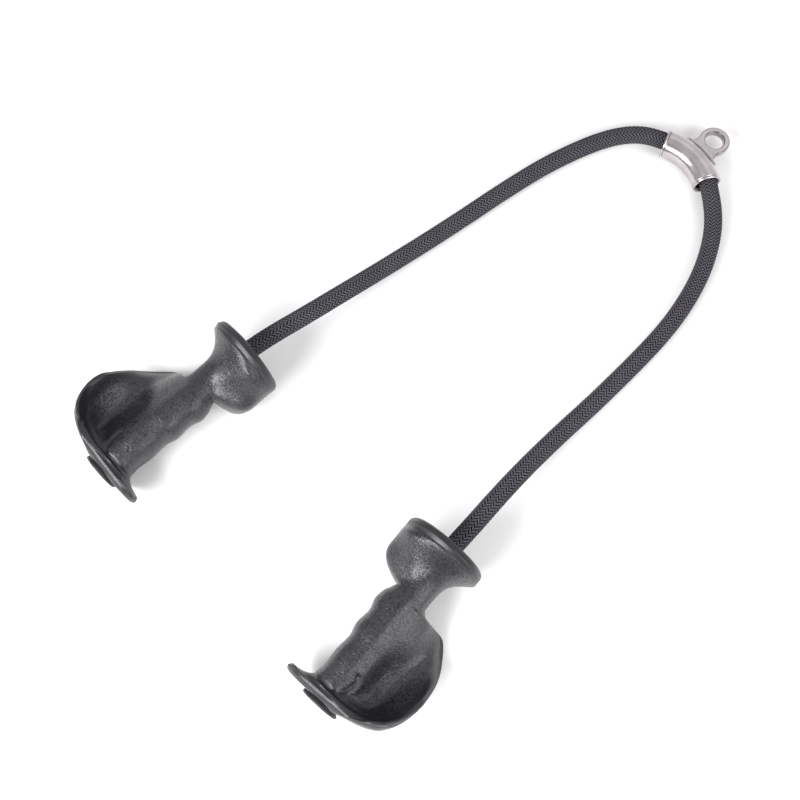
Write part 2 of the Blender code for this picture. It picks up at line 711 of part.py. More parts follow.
def eye_hole():
    radius = EYE_HOLE_DIAMETER / 2
    turns = [math.tau * k / EYE_ARC_STEPS for k in range(EYE_ARC_STEPS)]
    return [(radius * math.cos(turn), EYE_REACH + radius * math.sin(turn)) for turn in turns]


def flat_plate(name, outlines, thickness, collection):
    """A flat plate with holes, from closed outlines."""
    curve = bpy.data.curves.new(name, "CURVE")
    curve.dimensions = "2D"
    curve.fill_mode = "BOTH"
    curve.extrude = thickness / 2
    for outline in outlines:
        spline = curve.splines.new("POLY")
        spline.points.add(len(outline) - 1)
        spline.use_cyclic_u = True
        for i, (x, y) in enumerate(outline):
            spline.points[i].co = (x, y, 0, 1)
    obj = bpy.data.objects.new(name, curve)
    collection.objects.link(obj)
    return obj


def eye_plate(name, collection, cutters):
    """Lug that a snap hook takes, cut to sit on the sleeve's back."""
    flat = flat_plate(name, (eye_outline(), eye_hole()), EYE_PLATE_THICKNESS, collection)
    flat.location = (*BRACKET_APEX, SLEEVE_RADIUS)
    flat.rotation_euler = (0, 0, BRACKET_HEADING - math.pi / 2)
    bpy.context.view_layer.update()
    plate = curve_to_mesh(flat, collection)
    edges = plate.modifiers.new("edges", "BEVEL")
    edges.width = EYE_EDGE_ROUNDING
    edges.segments = 2
    edges.limit_method = "ANGLE"
    edges.angle_limit = math.radians(60)
    line = bend_line(SLEEVE_BEND_RADIUS, CUT_OVERRUN)
    seat = tube(name + "_seat", line, SLEEVE_RADIUS + SEAT_GAP, SLEEVE_SIDES_RESOLUTION, cutters)
    cut(plate, as_cutter(curve_to_mesh(seat, cutters)))
    return finish(plate, satin_steel(name))


def weld_bead(name, collection):
    """Fillet weld round the root of the eye plate."""
    stand = WELD_RADIUS + SEAT_GAP
    height = EYE_PLATE_THICKNESS / 2 + stand
    reach = math.sqrt((SLEEVE_RADIUS + stand) ** 2 - height ** 2)
    radius = SLEEVE_BEND_RADIUS + reach
    end_radius = SLEEVE_BEND_RADIUS + SLEEVE_RADIUS + stand
    half = math.asin((EYE_ROOT_WIDTH / 2) / radius)
    end_half = half + stand * 1.25 / radius
    top = [bracket_point(angle, radius, height) for angle in np.linspace(half, -half, 9)]
    right_end = [bracket_point(-end_half, end_radius, level) for level in (height / 2, 0, -height / 2)]
    bottom = [bracket_point(angle, radius, -height) for angle in np.linspace(-half, half, 9)]
    left_end = [bracket_point(end_half, end_radius, level) for level in (-height / 2, 0, height / 2)]
    line = top + right_end + bottom + left_end
    bead = tube(name, line, WELD_RADIUS, 1, collection, cyclic=True)
    return finish(bead, satin_steel(name))


def saddle_stretch(name, collection):
    """The stretch of rope that lies inside the sleeve."""
    radius = SLEEVE_BEND_RADIUS + ROPE_LEAN
    half = SLEEVE_BEND_ANGLE / 2 - math.asin((ROPE_RADIUS + SEAT_GAP) / radius)
    line = [bracket_point(angle, radius) for angle in np.linspace(half, -half, 5)]
    stretch = tube(name, line, ROPE_RADIUS, ROPE_SIDES_RESOLUTION, collection)
    return finish(stretch, rope_fibre(name))


def rope_leg(name, side, route, frame, collection):
    """A free stretch of rope between sleeve and handle, domed where it turns at either mouth."""
    pivot = bracket_point(-side * SLEEVE_BEND_ANGLE / 2, SLEEVE_BEND_RADIUS + ROPE_LEAN)
    outward = mouth_direction(-side)
    mouth = frame @ Vector((0, 0, 0))
    along = (frame.to_3x3() @ Vector((0, 1, 0))).normalized()
    guide = [pivot, pivot + outward * ROPE_RADIUS]
    guide += [Vector((x, y, under + ROPE_RADIUS)) for x, y, under in route]
    guide += [mouth + along * ROPE_RADIUS, mouth]
    line = open_smooth_line(guide, ROPE_POINT_SPACING)
    first = [pivot - outward * ROPE_RADIUS * share for share in DOME_DEPTH_SHARES]
    last = [mouth - along * ROPE_RADIUS * share for share in reversed(DOME_DEPTH_SHARES)]
    dome = list(DOME_RADIUS_SHARES)
    points = first + line + last
    radii = dome + [1.0] * len(line) + dome[::-1]
    leg = tube(name, points, ROPE_RADIUS, ROPE_SIDES_RESOLUTION, collection, radii=radii)
    leg.data.transform(Matrix.Translation(-pivot))
    leg.location = pivot
    return finish(leg, rope_fibre(name))


def handle_frame(side):
    """Where the handle lies: origin at its mouth, local +Y up the bore to the rope."""
    mouth = RIGHT_MOUTH if side > 0 else LEFT_MOUTH
    place = Matrix.Translation((*mouth, AXIS_HEIGHT))
    splay = Matrix.Rotation(side * HANDLE_SPLAY, 4, "Z")
    slope = Matrix.Rotation(HANDLE_SLOPE, 4, "X")
    return place @ splay @ slope


def build_bracket(collection, cutters):
    """Sleeve, eye plate, weld and the rope held inside."""
    curved_sleeve("curved_sleeve", collection, cutters)
    eye_plate("eye_plate", collection, cutters)
    weld_bead("weld_bead", collection)
    saddle_stretch("rope_saddle_stretch", collection)


def build_side(word, side, route, collection, cutters):
    """One rope leg with its handle and the fittings inside it."""
    frame = handle_frame(side)
    holder = bpy.data.objects.new(word + "_handle_frame", None)
    collection.objects.link(holder)
    holder.matrix_world = frame
    lie_down = Matrix.Rotation(-math.pi / 2, 4, "X")
    grip, bore = handle_grip(word + "_handle_grip", side, collection, cutters)
    round_pieces = [
        bore,
        bore_liner(word + "_bore_liner", collection),
        load_washer(word + "_load_washer", collection),
        rope_ferrule(word + "_rope_ferrule", collection),
        end_cap(word + "_end_cap", collection),
    ]
    for piece in round_pieces:
        piece.parent = holder
        piece.matrix_local = lie_down
    for piece in (grip, rope_tail(word + "_rope_tail", collection)):
        piece.parent = holder
    rope_leg(word + "_rope_leg", side, route, frame, collection)


def main():
    clear_scene()
    parts = new_collection("triceps_rope_attachment")
    cutters = new_collection("cutters")
    build_bracket(parts, cutters)
    build_side("left", -1, LEFT_ROUTE, parts, cutters)
    build_side("right", 1, RIGHT_ROUTE, parts, cutters)
    for obj in list(parts.objects) + list(cutters.objects):
        if obj.parent is None:
            obj.location -= Vector((*LAYOUT_CENTRE, 0))


main()
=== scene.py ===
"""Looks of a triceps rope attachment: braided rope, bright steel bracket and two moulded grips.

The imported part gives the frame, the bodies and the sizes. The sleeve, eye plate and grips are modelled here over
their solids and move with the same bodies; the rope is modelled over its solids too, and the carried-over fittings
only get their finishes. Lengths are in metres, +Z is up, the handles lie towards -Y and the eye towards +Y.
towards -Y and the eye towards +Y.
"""

import math

import bmesh
import bpy
import numpy as np
from bpy.props import FloatProperty, FloatVectorProperty, IntProperty, PointerProperty
from mathutils import Matrix, Vector


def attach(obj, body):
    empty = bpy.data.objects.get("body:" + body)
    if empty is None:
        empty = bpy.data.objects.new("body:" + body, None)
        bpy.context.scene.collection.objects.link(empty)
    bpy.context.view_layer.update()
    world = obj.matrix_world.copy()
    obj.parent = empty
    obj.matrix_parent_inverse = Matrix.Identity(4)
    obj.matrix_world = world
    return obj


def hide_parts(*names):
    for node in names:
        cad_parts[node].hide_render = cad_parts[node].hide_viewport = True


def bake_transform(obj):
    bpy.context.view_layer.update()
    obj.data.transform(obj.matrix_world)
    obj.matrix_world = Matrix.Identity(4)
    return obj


bl_info = {
    "name": "Triceps Rope Attachment",
    "version": (1, 0, 0),
    "blender": (4, 5, 0),
    "location": "3D View > Sidebar > Rope Attachment",
    "description": "Braided rope, steel bracket and moulded grips over the packed part",
    "category": "Add Mesh",
}

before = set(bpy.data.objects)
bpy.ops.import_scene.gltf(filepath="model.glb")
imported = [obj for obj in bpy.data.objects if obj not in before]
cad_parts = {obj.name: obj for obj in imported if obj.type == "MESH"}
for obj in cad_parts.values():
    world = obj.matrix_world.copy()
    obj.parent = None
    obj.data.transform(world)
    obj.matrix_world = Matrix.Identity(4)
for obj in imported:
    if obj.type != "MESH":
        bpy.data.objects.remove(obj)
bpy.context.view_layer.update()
MM = 0.001
SIDES = {"left": -1, "right": 1}

# Sleeve: the middle of its bend, and the heading of the eye from there
BEND_CENTRE = Vector((0.01394, 0.20633, 0.0127))
BEND_RADIUS = 59.4 * MM
BEND_HEADING = math.radians(84)
BEND_HALF = math.radians(26)
ROPE_LEAN = 2.0 * MM

# Handle: where the rope enters, and how the bore lies
MOUTH_REACH = 0.11795
MOUTH_PLACE = (-0.1522, 0.0369)
HANDLE_SPLAY = math.radians(4)
HANDLE_SLOPE = math.radians(4.3)
HANDLE_LENGTH = 152.0 * MM
ROPE_END = 148.0 * MM

# Routes of the two free legs from the sleeve to the handle, as the part's source has them
ROUTES = {
    "left": (
        (-0.01835, 0.26070, 0.01190), (-0.02865, 0.25610, 0.01070), (-0.04355, 0.24040, 0.00920),
        (-0.05425, 0.22060, 0.00840), (-0.06225, 0.19920, 0.00820), (-0.07175, 0.16590, 0.00820),
        (-0.08025, 0.12060, 0.00820), (-0.08715, 0.07540, 0.00820), (-0.09425, 0.03120, 0.00900),
        (-0.10075, -0.01270, 0.01300), (-0.10565, -0.05600, 0.02200), (-0.10995, -0.09820, 0.03200),
        (-0.11435, -0.12920, 0.03720),
    ),
    "right": (
        (0.05395, 0.25240, 0.01200), (0.07025, 0.23820, 0.01040), (0.08455, 0.21920, 0.00920),
        (0.09525, 0.19820, 0.00830), (0.10325, 0.17580, 0.00820), (0.10865, 0.15290, 0.00820),
        (0.11225, 0.13000, 0.00820), (0.11415, 0.09580, 0.00820), (0.11375, 0.03040, 0.00860),
        (0.11235, -0.01320, 0.01250), (0.11255, -0.05620, 0.02150), (0.11435, -0.09220, 0.03050),
        (0.11695, -0.12620, 0.03720),
    ),
}


# ---------------------------------------------------------------- shared modelling helpers


def deselect():
    """Leave edit mode and select nothing."""
    if bpy.context.object and bpy.context.object.mode != "OBJECT":
        bpy.ops.object.mode_set(mode="OBJECT")
    bpy.ops.object.select_all(action="DESELECT")


def take(obj):
    """Make one object the selected and active one."""
    deselect()
    obj.select_set(True)
    bpy.context.view_layer.objects.active = obj
    return obj


def named(name):
    """Name the object that an operator has just added."""
    obj = bpy.context.active_object
    obj.name = name
    obj.data.name = name
    return obj


def edit(obj, mode="VERT"):
    take(obj)
    bpy.ops.object.mode_set(mode="EDIT")
    bpy.ops.mesh.select_mode(type=mode)
    bpy.ops.mesh.select_all(action="DESELECT")
    return bmesh.from_edit_mesh(obj.data)


def done():
    bpy.ops.object.mode_set(mode="OBJECT")


def apply(obj, kind, name, **settings):
    """Add a modifier with its settings and apply it."""
    take(obj)
    modifier = obj.modifiers.new(name, kind)
    for key, value in settings.items():
        setattr(modifier, key, value)
    bpy.ops.object.modifier_apply(modifier=modifier.name)
    return obj


def place(obj, matrix):
    """Move the mesh itself, so that the object stays at the origin."""
    obj.data.transform(matrix @ obj.matrix_basis)
    obj.matrix_basis = Matrix.Identity(4)
    return obj


def settle(obj):
    """Put the object's own place into its mesh."""
    return place(obj, Matrix.Identity(4))


def outward(obj):
    """Faces point out after doubles are merged."""
    take(obj)
    bpy.ops.object.mode_set(mode="EDIT")
    bpy.ops.mesh.select_all(action="SELECT")
    bpy.ops.mesh.remove_doubles(threshold=1e-6)
    bpy.ops.mesh.normals_make_consistent(inside=False)
    done()
    return obj


def smooth(obj, angle=math.radians(40)):
    take(obj)
    bpy.ops.object.shade_smooth_by_angle(angle=angle)
    return obj


def wear(obj, material):
    """Give a piece one material."""
    obj.data.materials.clear()
    obj.data.materials.append(material)
    return obj


def point_values(obj, name, values):
    """Store one number per vertex, for its material to read."""
    layer = obj.data.attributes.new(name, "FLOAT", "POINT")
    layer.data.foreach_set("value", np.asarray(values, np.float32).ravel())


def mix(a, b, share):
    return a + (b - a) * share


def ease(low, high, value):
    """0 below low, 1 above high, with an even S between."""
    share = np.clip((value - low) / (high - low), 0, 1)
    return share * share * (3 - 2 * share)


# ---------------------------------------------------------------- materials


class Wire:
    """A node's output that takes part in sums."""

    def __init__(self, finish, socket):
        self.finish = finish
        self.socket = socket

    def _math(self, operation, *values, clamp=False):
        settings = {"operation": operation, "use_clamp": clamp}
        return self.finish.node("ShaderNodeMath", settings, dict(enumerate(values)))

    def __add__(self, other):
        return self._math("ADD", self, other)

    def __radd__(self, other):
        return self._math("ADD", other, self)

    def __sub__(self, other):
        return self._math("SUBTRACT", self, other)

    def __rsub__(self, other):
        return self._math("SUBTRACT", other, self)

    def __mul__(self, other):
        return self._math("MULTIPLY", self, other)

    def __rmul__(self, other):
        return self._math("MULTIPLY", other, self)

    def __truediv__(self, other):
        return self._math("DIVIDE", self, other)

    def __pow__(self, other):
        return self._math("POWER", self, other)

    def clamped(self):
        return self._math("ADD", self, 0.0, clamp=True)

    def sine(self):
        return self._math("SINE", self)

    def between(self, low, high):
        """An even S from 0 at low to 1 at high."""
        settings = {"interpolation_type": "SMOOTHSTEP", "clamp": True}
        return self.finish.node("ShaderNodeMapRange", settings, {0: self, 1: low, 2: high})


class Finish:
    """A material built from nodes on its Principled shader."""

    def __init__(self, name, **shader):
        self.material = bpy.data.materials.new(name)
        self.material.use_nodes = True
        self.tree = self.material.node_tree
        self.shader = self.tree.nodes["Principled BSDF"]
        for key, value in shader.items():
            self.shader.inputs[key.replace("_", " ")].default_value = value

    def node(self, kind, settings=None, inputs=None, output=0):
        """Add a node: its settings first, then the values or links of its sockets."""
        made = self.tree.nodes.new(kind)
        for key, value in (settings or {}).items():
            if key == "stops":
                ramp = made.color_ramp
                while len(ramp.elements) < len(value):
                    ramp.elements.new(1.0)
                for element, (spot, colour) in zip(ramp.elements, value):
                    element.position = spot
                    element.color = colour
            else:
                setattr(made, key, value)
        for key, value in (inputs or {}).items():
            if isinstance(value, Wire):
                self.tree.links.new(value.socket, made.inputs[key])
            else:
                made.inputs[key].default_value = value
        return Wire(self, made.outputs[output])

    def place(self, scale=(1, 1, 1)):
        """Object coordinates, stretched."""
        spot = self.node("ShaderNodeTexCoord", output="Object")
        return self.node("ShaderNodeMapping", None, {"Vector": spot, "Scale": scale})

    def layer(self, name):
        """A number that the mesh carries."""
        return self.node("ShaderNodeAttribute", {"attribute_name": name}, output="Fac")

    def noise(self, scale, detail=2.0, roughness=0.5, at=None, distortion=0.0):
        spot = at or self.place()
        inputs = {"Vector": spot, "Scale": scale, "Detail": detail, "Roughness": roughness,
                  "Distortion": distortion}
        return self.node("ShaderNodeTexNoise", None, inputs)

    def cells(self, scale, feature="F1", at=None, smoothness=None):
        spot = at or self.place()
        inputs = {"Vector": spot, "Scale": scale}
        if smoothness is not None:
            inputs["Smoothness"] = smoothness
        return self.node("ShaderNodeTexVoronoi", {"feature": feature}, inputs, output="Distance")

    def blend(self, share, a, b):
        """Between two colours."""
        settings = {"data_type": "RGBA"}
        inputs = {0: share}
        made = self.tree.nodes.new("ShaderNodeMix")
        made.data_type = settings["data_type"]
        for key, value in ((0, inputs[0]), (6, a), (7, b)):
            if isinstance(value, Wire):
                self.tree.links.new(value.socket, made.inputs[key])
            elif key == 0:
                made.inputs[key].default_value = value
            else:
                made.inputs[key].default_value = (*value[:3], 1.0)
        return Wire(self, made.outputs[2])

    def bump(self, height, distance, strength=1.0, under=None):
        inputs = {"Height": height, "Distance": distance, "Strength": strength}
        if under:
            inputs["Normal"] = under
        return self.node("ShaderNodeBump", None, inputs)

    def wire(self, **links):
        """Link values to the shader's sockets and hand over the material."""
        for key, value in links.items():
            self.tree.links.new(value.socket, self.shader.inputs[key.replace("_", " ")])
        return self.material


def braid_material(sizes):
    """Charcoal braided cover: pale yarn tops, gaps darkened as painted shade, fine filaments."""
    f = Finish("braided_cover", Roughness=0.85, Specular_IOR_Level=0.12)
    lift = f.layer("braid_lift")
    across = f.layer("yarn_across")
    patch = f.noise(55.0, 2.0)
    fleck = f.noise(2600.0, 2.0)
    filament = (across * 46.0 + f.noise(900.0, 1.0) * 1.5).sine()
    top = f.blend(patch, sizes.yarn_colour, sizes.yarn_light_colour)
    tone = (lift + (fleck - 0.5) * 0.4 + filament * 0.05).clamped()
    # The gaps between the yarns get a near-black colour by the braid's height: painted shade in the crevices.
    colour = f.blend(tone.between(0.5, 1.08), sizes.gap_shade_colour, top)
    rough = 0.72 + fleck * 0.2
    height = filament * 0.5 + fleck
    normal = f.bump(height, 0.00008, 0.6)
    return f.wire(Base_Color=colour, Roughness=rough, Normal=normal)


def grip_material(sizes):
    """Black moulded grip with a leather-like grain that fades on the polished rims; the grain's hollows are darker in
    the colour, partly its own tone and partly painted shade.
    """
    f = Finish("moulded_grip", Roughness=0.42, Specular_IOR_Level=0.52)
    grain = f.layer("grain")
    scale = 1.0 / sizes.grain_size
    swell = f.noise(scale * 0.16, 2.0)
    wrinkle = f.noise(scale * 0.7, 3.0, 0.64, distortion=1.6)
    pebble = f.cells(scale * 0.9, "SMOOTH_F1", smoothness=0.4)
    fine = f.noise(scale * 2.6, 2.0)
    patch = f.noise(38.0, 3.0)
    leather = pebble * 0.8 + wrinkle * 1.5
    # Pebble and wrinkle tops paler, hollows darker: partly the grain's own tone, partly painted shade in the hollows.
    tops = (leather + (fine - 0.5) * 0.6).between(0.88, 1.18)
    tone = tops * grain + (patch * 0.5 + 0.15) * (1.0 - grain)
    colour = f.blend(tone, sizes.grip_colour, sizes.grip_light_colour)
    rough = 0.42 + patch * 0.06 - tone * 0.05 - grain * 0.13
    normal = f.bump(swell, 0.0005, 0.5)
    normal = f.bump(leather * grain, sizes.grain_depth, 1.0, under=normal)
    normal = f.bump(fine, 0.00006, 0.6, under=normal)
    return f.wire(Base_Color=colour, Roughness=rough, Normal=normal)


def steel_material(sizes, name, colour, rough, brush=(1, 1, 1), depth=0.00001, shaded_edges=False):
    """Bright satin steel with a fine grind and faint smudges; on request its rounded edges are darkened as painted
    shade.
    """
    f = Finish(name, Metallic=1.0, Roughness=rough)
    spot = f.place(brush)
    grind = f.noise(1400.0, 3.0, 0.6, at=spot)
    smudge = f.noise(70.0, 3.0)
    dark = tuple(c * 0.86 for c in colour)
    tone = f.blend(smudge.between(0.35, 0.7), dark, colour)
    # Rounded edges, found by how far their surface leans, are darkened to under a third of the colour: painted shade.
    if shaded_edges:
        tone = f.blend(f.layer("edge").between(0.35, 1.0), tone, tuple(c * 0.28 for c in colour))
    roughness = rough - 0.05 + grind * 0.07 + smudge.between(0.4, 0.75) * 0.07
    normal = f.bump(grind, depth, 0.5)
    return f.wire(Base_Color=tone, Roughness=roughness, Normal=normal)


def nylon_material(name, colour):
    """Plain black nylon with a fine satin tooth."""
    f = Finish(name, Roughness=0.45)
    tooth = f.noise(3200.0, 2.0)
    patch = f.noise(60.0, 3.0)
    tone = f.blend(patch.between(0.3, 0.7), colour, tuple(c * 1.6 for c in colour))
    return f.wire(Base_Color=tone, Roughness=0.4 + tooth * 0.14, Normal=f.bump(tooth, 0.00003, 0.6))


def floor_material(colour):
    f = Finish("pale_floor", Roughness=0.6)
    tooth = f.noise(220.0, 3.0)
    tone = f.blend(f.noise(2.5, 2.0), colour, tuple(c * 0.985 for c in colour))
    return f.wire(Base_Color=tone, Roughness=0.55 + tooth * 0.1)


# ---------------------------------------------------------------- sizes and colours


class StageSettings(bpy.types.PropertyGroup):
    floor_width: FloatProperty(name="Floor width", description="Side of the square floor", default=6.0, unit="LENGTH")
    floor_colour: FloatVectorProperty(
        name="Floor", description="Colour of the floor", subtype="COLOR", default=(0.92, 0.915, 0.915))
    lens: FloatProperty(name="Lens", description="Focal length in millimetres", default=48.3)
    azimuth: FloatProperty(
        name="Azimuth", description="Turn of the camera round the part", default=math.radians(45), subtype="ANGLE")
    elevation: FloatProperty(
        name="Elevation", description="Camera's angle over the floor", default=math.radians(71), subtype="ANGLE")
    distance: FloatProperty(name="Distance", description="Camera to aim point", default=0.92, unit="LENGTH")
    light: FloatProperty(name="Soft boxes", description="Share of the soft boxes' power", default=1.0)
    sky: FloatProperty(name="Sky", description="Strength of the room's even light", default=0.55)


class RopeSettings(bpy.types.PropertyGroup):
    diameter: FloatProperty(name="Diameter", description="Outside of the braid", default=0.016, unit="LENGTH")
    relief: FloatProperty(
        name="Relief", description="Height of a yarn over the gaps", default=0.0012, unit="LENGTH")
    lay: FloatProperty(
        name="Lay", description="Length in which a yarn goes once round", default=0.0536, unit="LENGTH")
    wales: IntProperty(name="Wales", description="Columns of yarns round the rope", default=16, min=4)
    yarn_colour: FloatVectorProperty(
        name="Yarn", description="Top of the yarns", subtype="COLOR", default=(0.088, 0.084, 0.098))
    yarn_light_colour: FloatVectorProperty(
        name="Yarn, light", description="Paler yarns", subtype="COLOR", default=(0.135, 0.129, 0.148))
    # Colour of the gaps between the yarns: painted shade.
    gap_shade_colour: FloatVectorProperty(
        name="Gaps", description="Between the yarns", subtype="COLOR", default=(0.004, 0.0038, 0.0048))


class GripSettings(bpy.types.PropertyGroup):
    grain_size: FloatProperty(name="Grain", description="Size of a pebble", default=0.0015, unit="LENGTH")
    grain_depth: FloatProperty(name="Grain depth", description="Depth of the grain", default=0.0002, unit="LENGTH")
    bead_width: FloatProperty(name="Bead", description="Width of the rim's raised line", default=0.0023, unit="LENGTH")
    bead_height: FloatProperty(
        name="Bead height", description="Height of the rim's raised line", default=0.0015, unit="LENGTH")
    groove_depth: FloatProperty(
        name="Groove", description="Depth of the groove inside the rim", default=0.001, unit="LENGTH")
    grip_colour: FloatVectorProperty(
        name="Grip", description="Main colour", subtype="COLOR", default=(0.0008, 0.0008, 0.0012))
    grip_light_colour: FloatVectorProperty(
        name="Grip, light", description="Paler patches", subtype="COLOR", default=(0.023, 0.0222, 0.0272))


class SteelSettings(bpy.types.PropertyGroup):
    outer_radius: FloatProperty(name="Sleeve radius", description="Outside", default=0.0127, unit="LENGTH")
    bore_radius: FloatProperty(name="Bore radius", description="Inside", default=0.0107, unit="LENGTH")
    lip_rounding: FloatProperty(name="Lip", description="Rounding of the mouth", default=0.0009, unit="LENGTH")
    roll_radius: FloatProperty(
        name="Rolled lip", description="Radius of the bead at each mouth", default=0.00112, unit="LENGTH")
    roll_middle: FloatProperty(
        name="Lip middle", description="Radius of the bead's middle line", default=0.0117, unit="LENGTH")
    hole_radius: FloatProperty(name="Eye hole", description="Radius of the hole", default=0.0087, unit="LENGTH")
    head_radius: FloatProperty(name="Eye head", description="Radius of the head", default=0.0138, unit="LENGTH")
    eye_reach: FloatProperty(name="Eye reach", description="Apex to hole", default=0.0295, unit="LENGTH")
    plate_thickness: FloatProperty(name="Plate", description="Thickness", default=0.0066, unit="LENGTH")
    root_width: FloatProperty(name="Root", description="Width at the sleeve", default=0.031, unit="LENGTH")
    colour: FloatVectorProperty(
        name="Steel", description="Colour of the steel", subtype="COLOR", default=(0.565, 0.525, 0.538))


# ---------------------------------------------------------------- rope


def spline_points(points, steps):
    """Points on the smooth open curve through the given ones, spaced for uneven points."""
    line = [np.array(p, float) for p in points]
    line = [2 * line[0] - line[1]] + line + [2 * line[-1] - line[-2]]
    fine = []
    for i in range(1, len(line) - 2):
        p0, p1, p2, p3 = line[i - 1:i + 3]
        knots = np.cumsum([0] + [math.sqrt(np.linalg.norm(b - a)) for a, b in ((p0, p1), (p1, p2), (p2, p3))])
        for k in range(steps):
            at = mix(knots[1], knots[2], k / steps)

            def between(a, b, m, n):
                return a * ((knots[n] - at) / (knots[n] - knots[m])) + b * ((at - knots[m]) / (knots[n] - knots[m]))

            a1, a2, a3 = between(p0, p1, 0, 1), between(p1, p2, 1, 2), between(p2, p3, 2, 3)
            fine.append(between(between(a1, a2, 0, 2), between(a2, a3, 1, 3), 1, 2))
    fine.append(line[-2])
    return np.array(fine)


def even_line(line, spacing):
    """The same line with its points at one spacing."""
    runs = np.concatenate([[0], np.cumsum(np.linalg.norm(np.diff(line, axis=0), axis=1))])
    count = max(2, round(runs[-1] / spacing))
    marks = np.linspace(0, runs[-1], count + 1)
    return np.stack([np.interp(marks, runs, line[:, axis]) for axis in range(3)], axis=1)


def relaxed(line, spacing, width):
    """A stiff rope's line: small kinks evened out, both ends kept."""
    reach = int(3 * width / spacing)
    weights = np.exp(-0.5 * (np.arange(-reach, reach + 1) * spacing / width) ** 2)
    weights /= weights.sum()
    before = 2 * line[0] - line[reach:0:-1]
    after = 2 * line[-1] - line[-2:-reach - 2:-1]
    padded = np.vstack([before, line, after])
    return np.stack([np.convolve(padded[:, axis], weights, mode="valid") for axis in range(3)], axis=1)


def handle_matrix(side):
    """Where the handle lies: origin at its mouth, local +Y up the bore to the rope."""
    at = Matrix.Translation((side * MOUTH_REACH, *MOUTH_PLACE))
    return at @ Matrix.Rotation(side * HANDLE_SPLAY, 4, "Z") @ Matrix.Rotation(HANDLE_SLOPE, 4, "X")


def bend_point(angle, radius, height=0.0):
    """A point at an angle from the eye's heading, about the middle of the bend."""
    turn = BEND_HEADING + angle
    return BEND_CENTRE + Vector((radius * math.cos(turn), radius * math.sin(turn), height))


def rope_line(word, side, spacing):
    """The rope's middle from the top of the sleeve to its end in the handle, at one spacing."""
    lean = BEND_RADIUS + ROPE_LEAN
    saddle = [tuple(bend_point(-side * BEND_HALF * k / 4, lean)) for k in range(5)]
    frame_of = handle_matrix(side)
    bore = [tuple(frame_of @ Vector((0, -ROPE_END * k / 6, 0))) for k in range(7)]
    line = even_line(spline_points(saddle + list(ROUTES[word]) + bore, 24), spacing)
    soft = relaxed(line, spacing, 9 * MM)
    # In the sleeve and in the bore the line keeps its own place.
    run = np.arange(len(line)) * spacing
    held = 1 - ease(20 * MM, 45 * MM, run) * (1 - ease(run[-1] - ROPE_END - 8 * MM, run[-1] - ROPE_END + 6 * MM, run))
    return even_line(soft + (line - soft) * held[:, None], spacing)


def frames_along(line):
    """Directions across a line that turn with it and never twist."""
    along = np.gradient(line, axis=0)
    along /= np.linalg.norm(along, axis=1)[:, None]
    across = np.zeros_like(line)
    start = np.cross(along[0], (0, 0, 1))
    across[0] = start / np.linalg.norm(start)
    for i in range(1, len(line)):
        drop = across[i - 1] - along[i] * (across[i - 1] @ along[i])
        across[i] = drop / np.linalg.norm(drop)
    return across, np.cross(along, across)


def braid(turns, runs, sizes):
    """Height, and place across its yarn, of each point of the braided cover.

    Every wale shows slanting floats of one hand, and the next wale those of the other hand.
    """
    column = turns * sizes.wales
    pitch = sizes.lay / sizes.wales
    best = np.full(np.broadcast(column, runs).shape, -1.0)
    across = np.zeros_like(best)
    for shift in (-1, 0, 1):
        wale = np.floor(column) + shift
        hand = np.where(np.mod(wale, 2) < 0.5, 1.0, -1.0)
        x = column - wale - 0.5
        y = np.mod(runs / pitch - hand * x * 0.92 + 0.25 * hand + 0.5, 1.0) - 0.5
        reach = np.clip(1 - (np.abs(x) / 0.86) ** 2.4, 0, 1) ** 0.6
        body = np.sqrt(np.clip(1 - (np.abs(y) / 0.43) ** 2.0, 0, 1))
        height = reach * (0.1 + 0.9 * body) * (body > 0)
        won = height > best
        best = np.where(won, height, best)
        across = np.where(won, y, across)
    return np.clip(best, 0, 1), across


def tube_piece(name, line, across, up, offset, sizes, spacing, steps):
    """One closed stretch of braided cover round its line."""
    count = len(line)
    turns = np.arange(steps) / steps
    runs = offset + np.arange(count) * spacing
    lift, yarn = braid(turns[None, :], runs[:, None], sizes)
    radius = sizes.diameter / 2 - sizes.relief * (1 - lift)
    angle = turns[None, :] * math.tau
    ring = (across[:, None, :] * np.cos(angle)[..., None] + up[:, None, :] * np.sin(angle)[..., None])
    points = line[:, None, :] + ring * radius[..., None]
    index = np.arange(count * steps).reshape(count, steps)
    a, b = index[:-1], index[1:]
    faces = np.stack([a, b, np.roll(b, -1, 1), np.roll(a, -1, 1)], axis=-1).reshape(-1, 4)
    mesh = bpy.data.meshes.new(name)
    caps = [list(map(int, index[0])), list(map(int, index[-1][::-1]))]
    mesh.from_pydata(points.reshape(-1, 3).tolist(), [], faces.tolist() + caps)
    mesh.update()
    obj = bpy.data.objects.new(name, mesh)
    bpy.context.scene.collection.objects.link(obj)
    for layer, values in (("braid_lift", lift), ("yarn_across", yarn)):
        point_values(obj, layer, values)
    mesh.shade_smooth()
    return outward(obj)


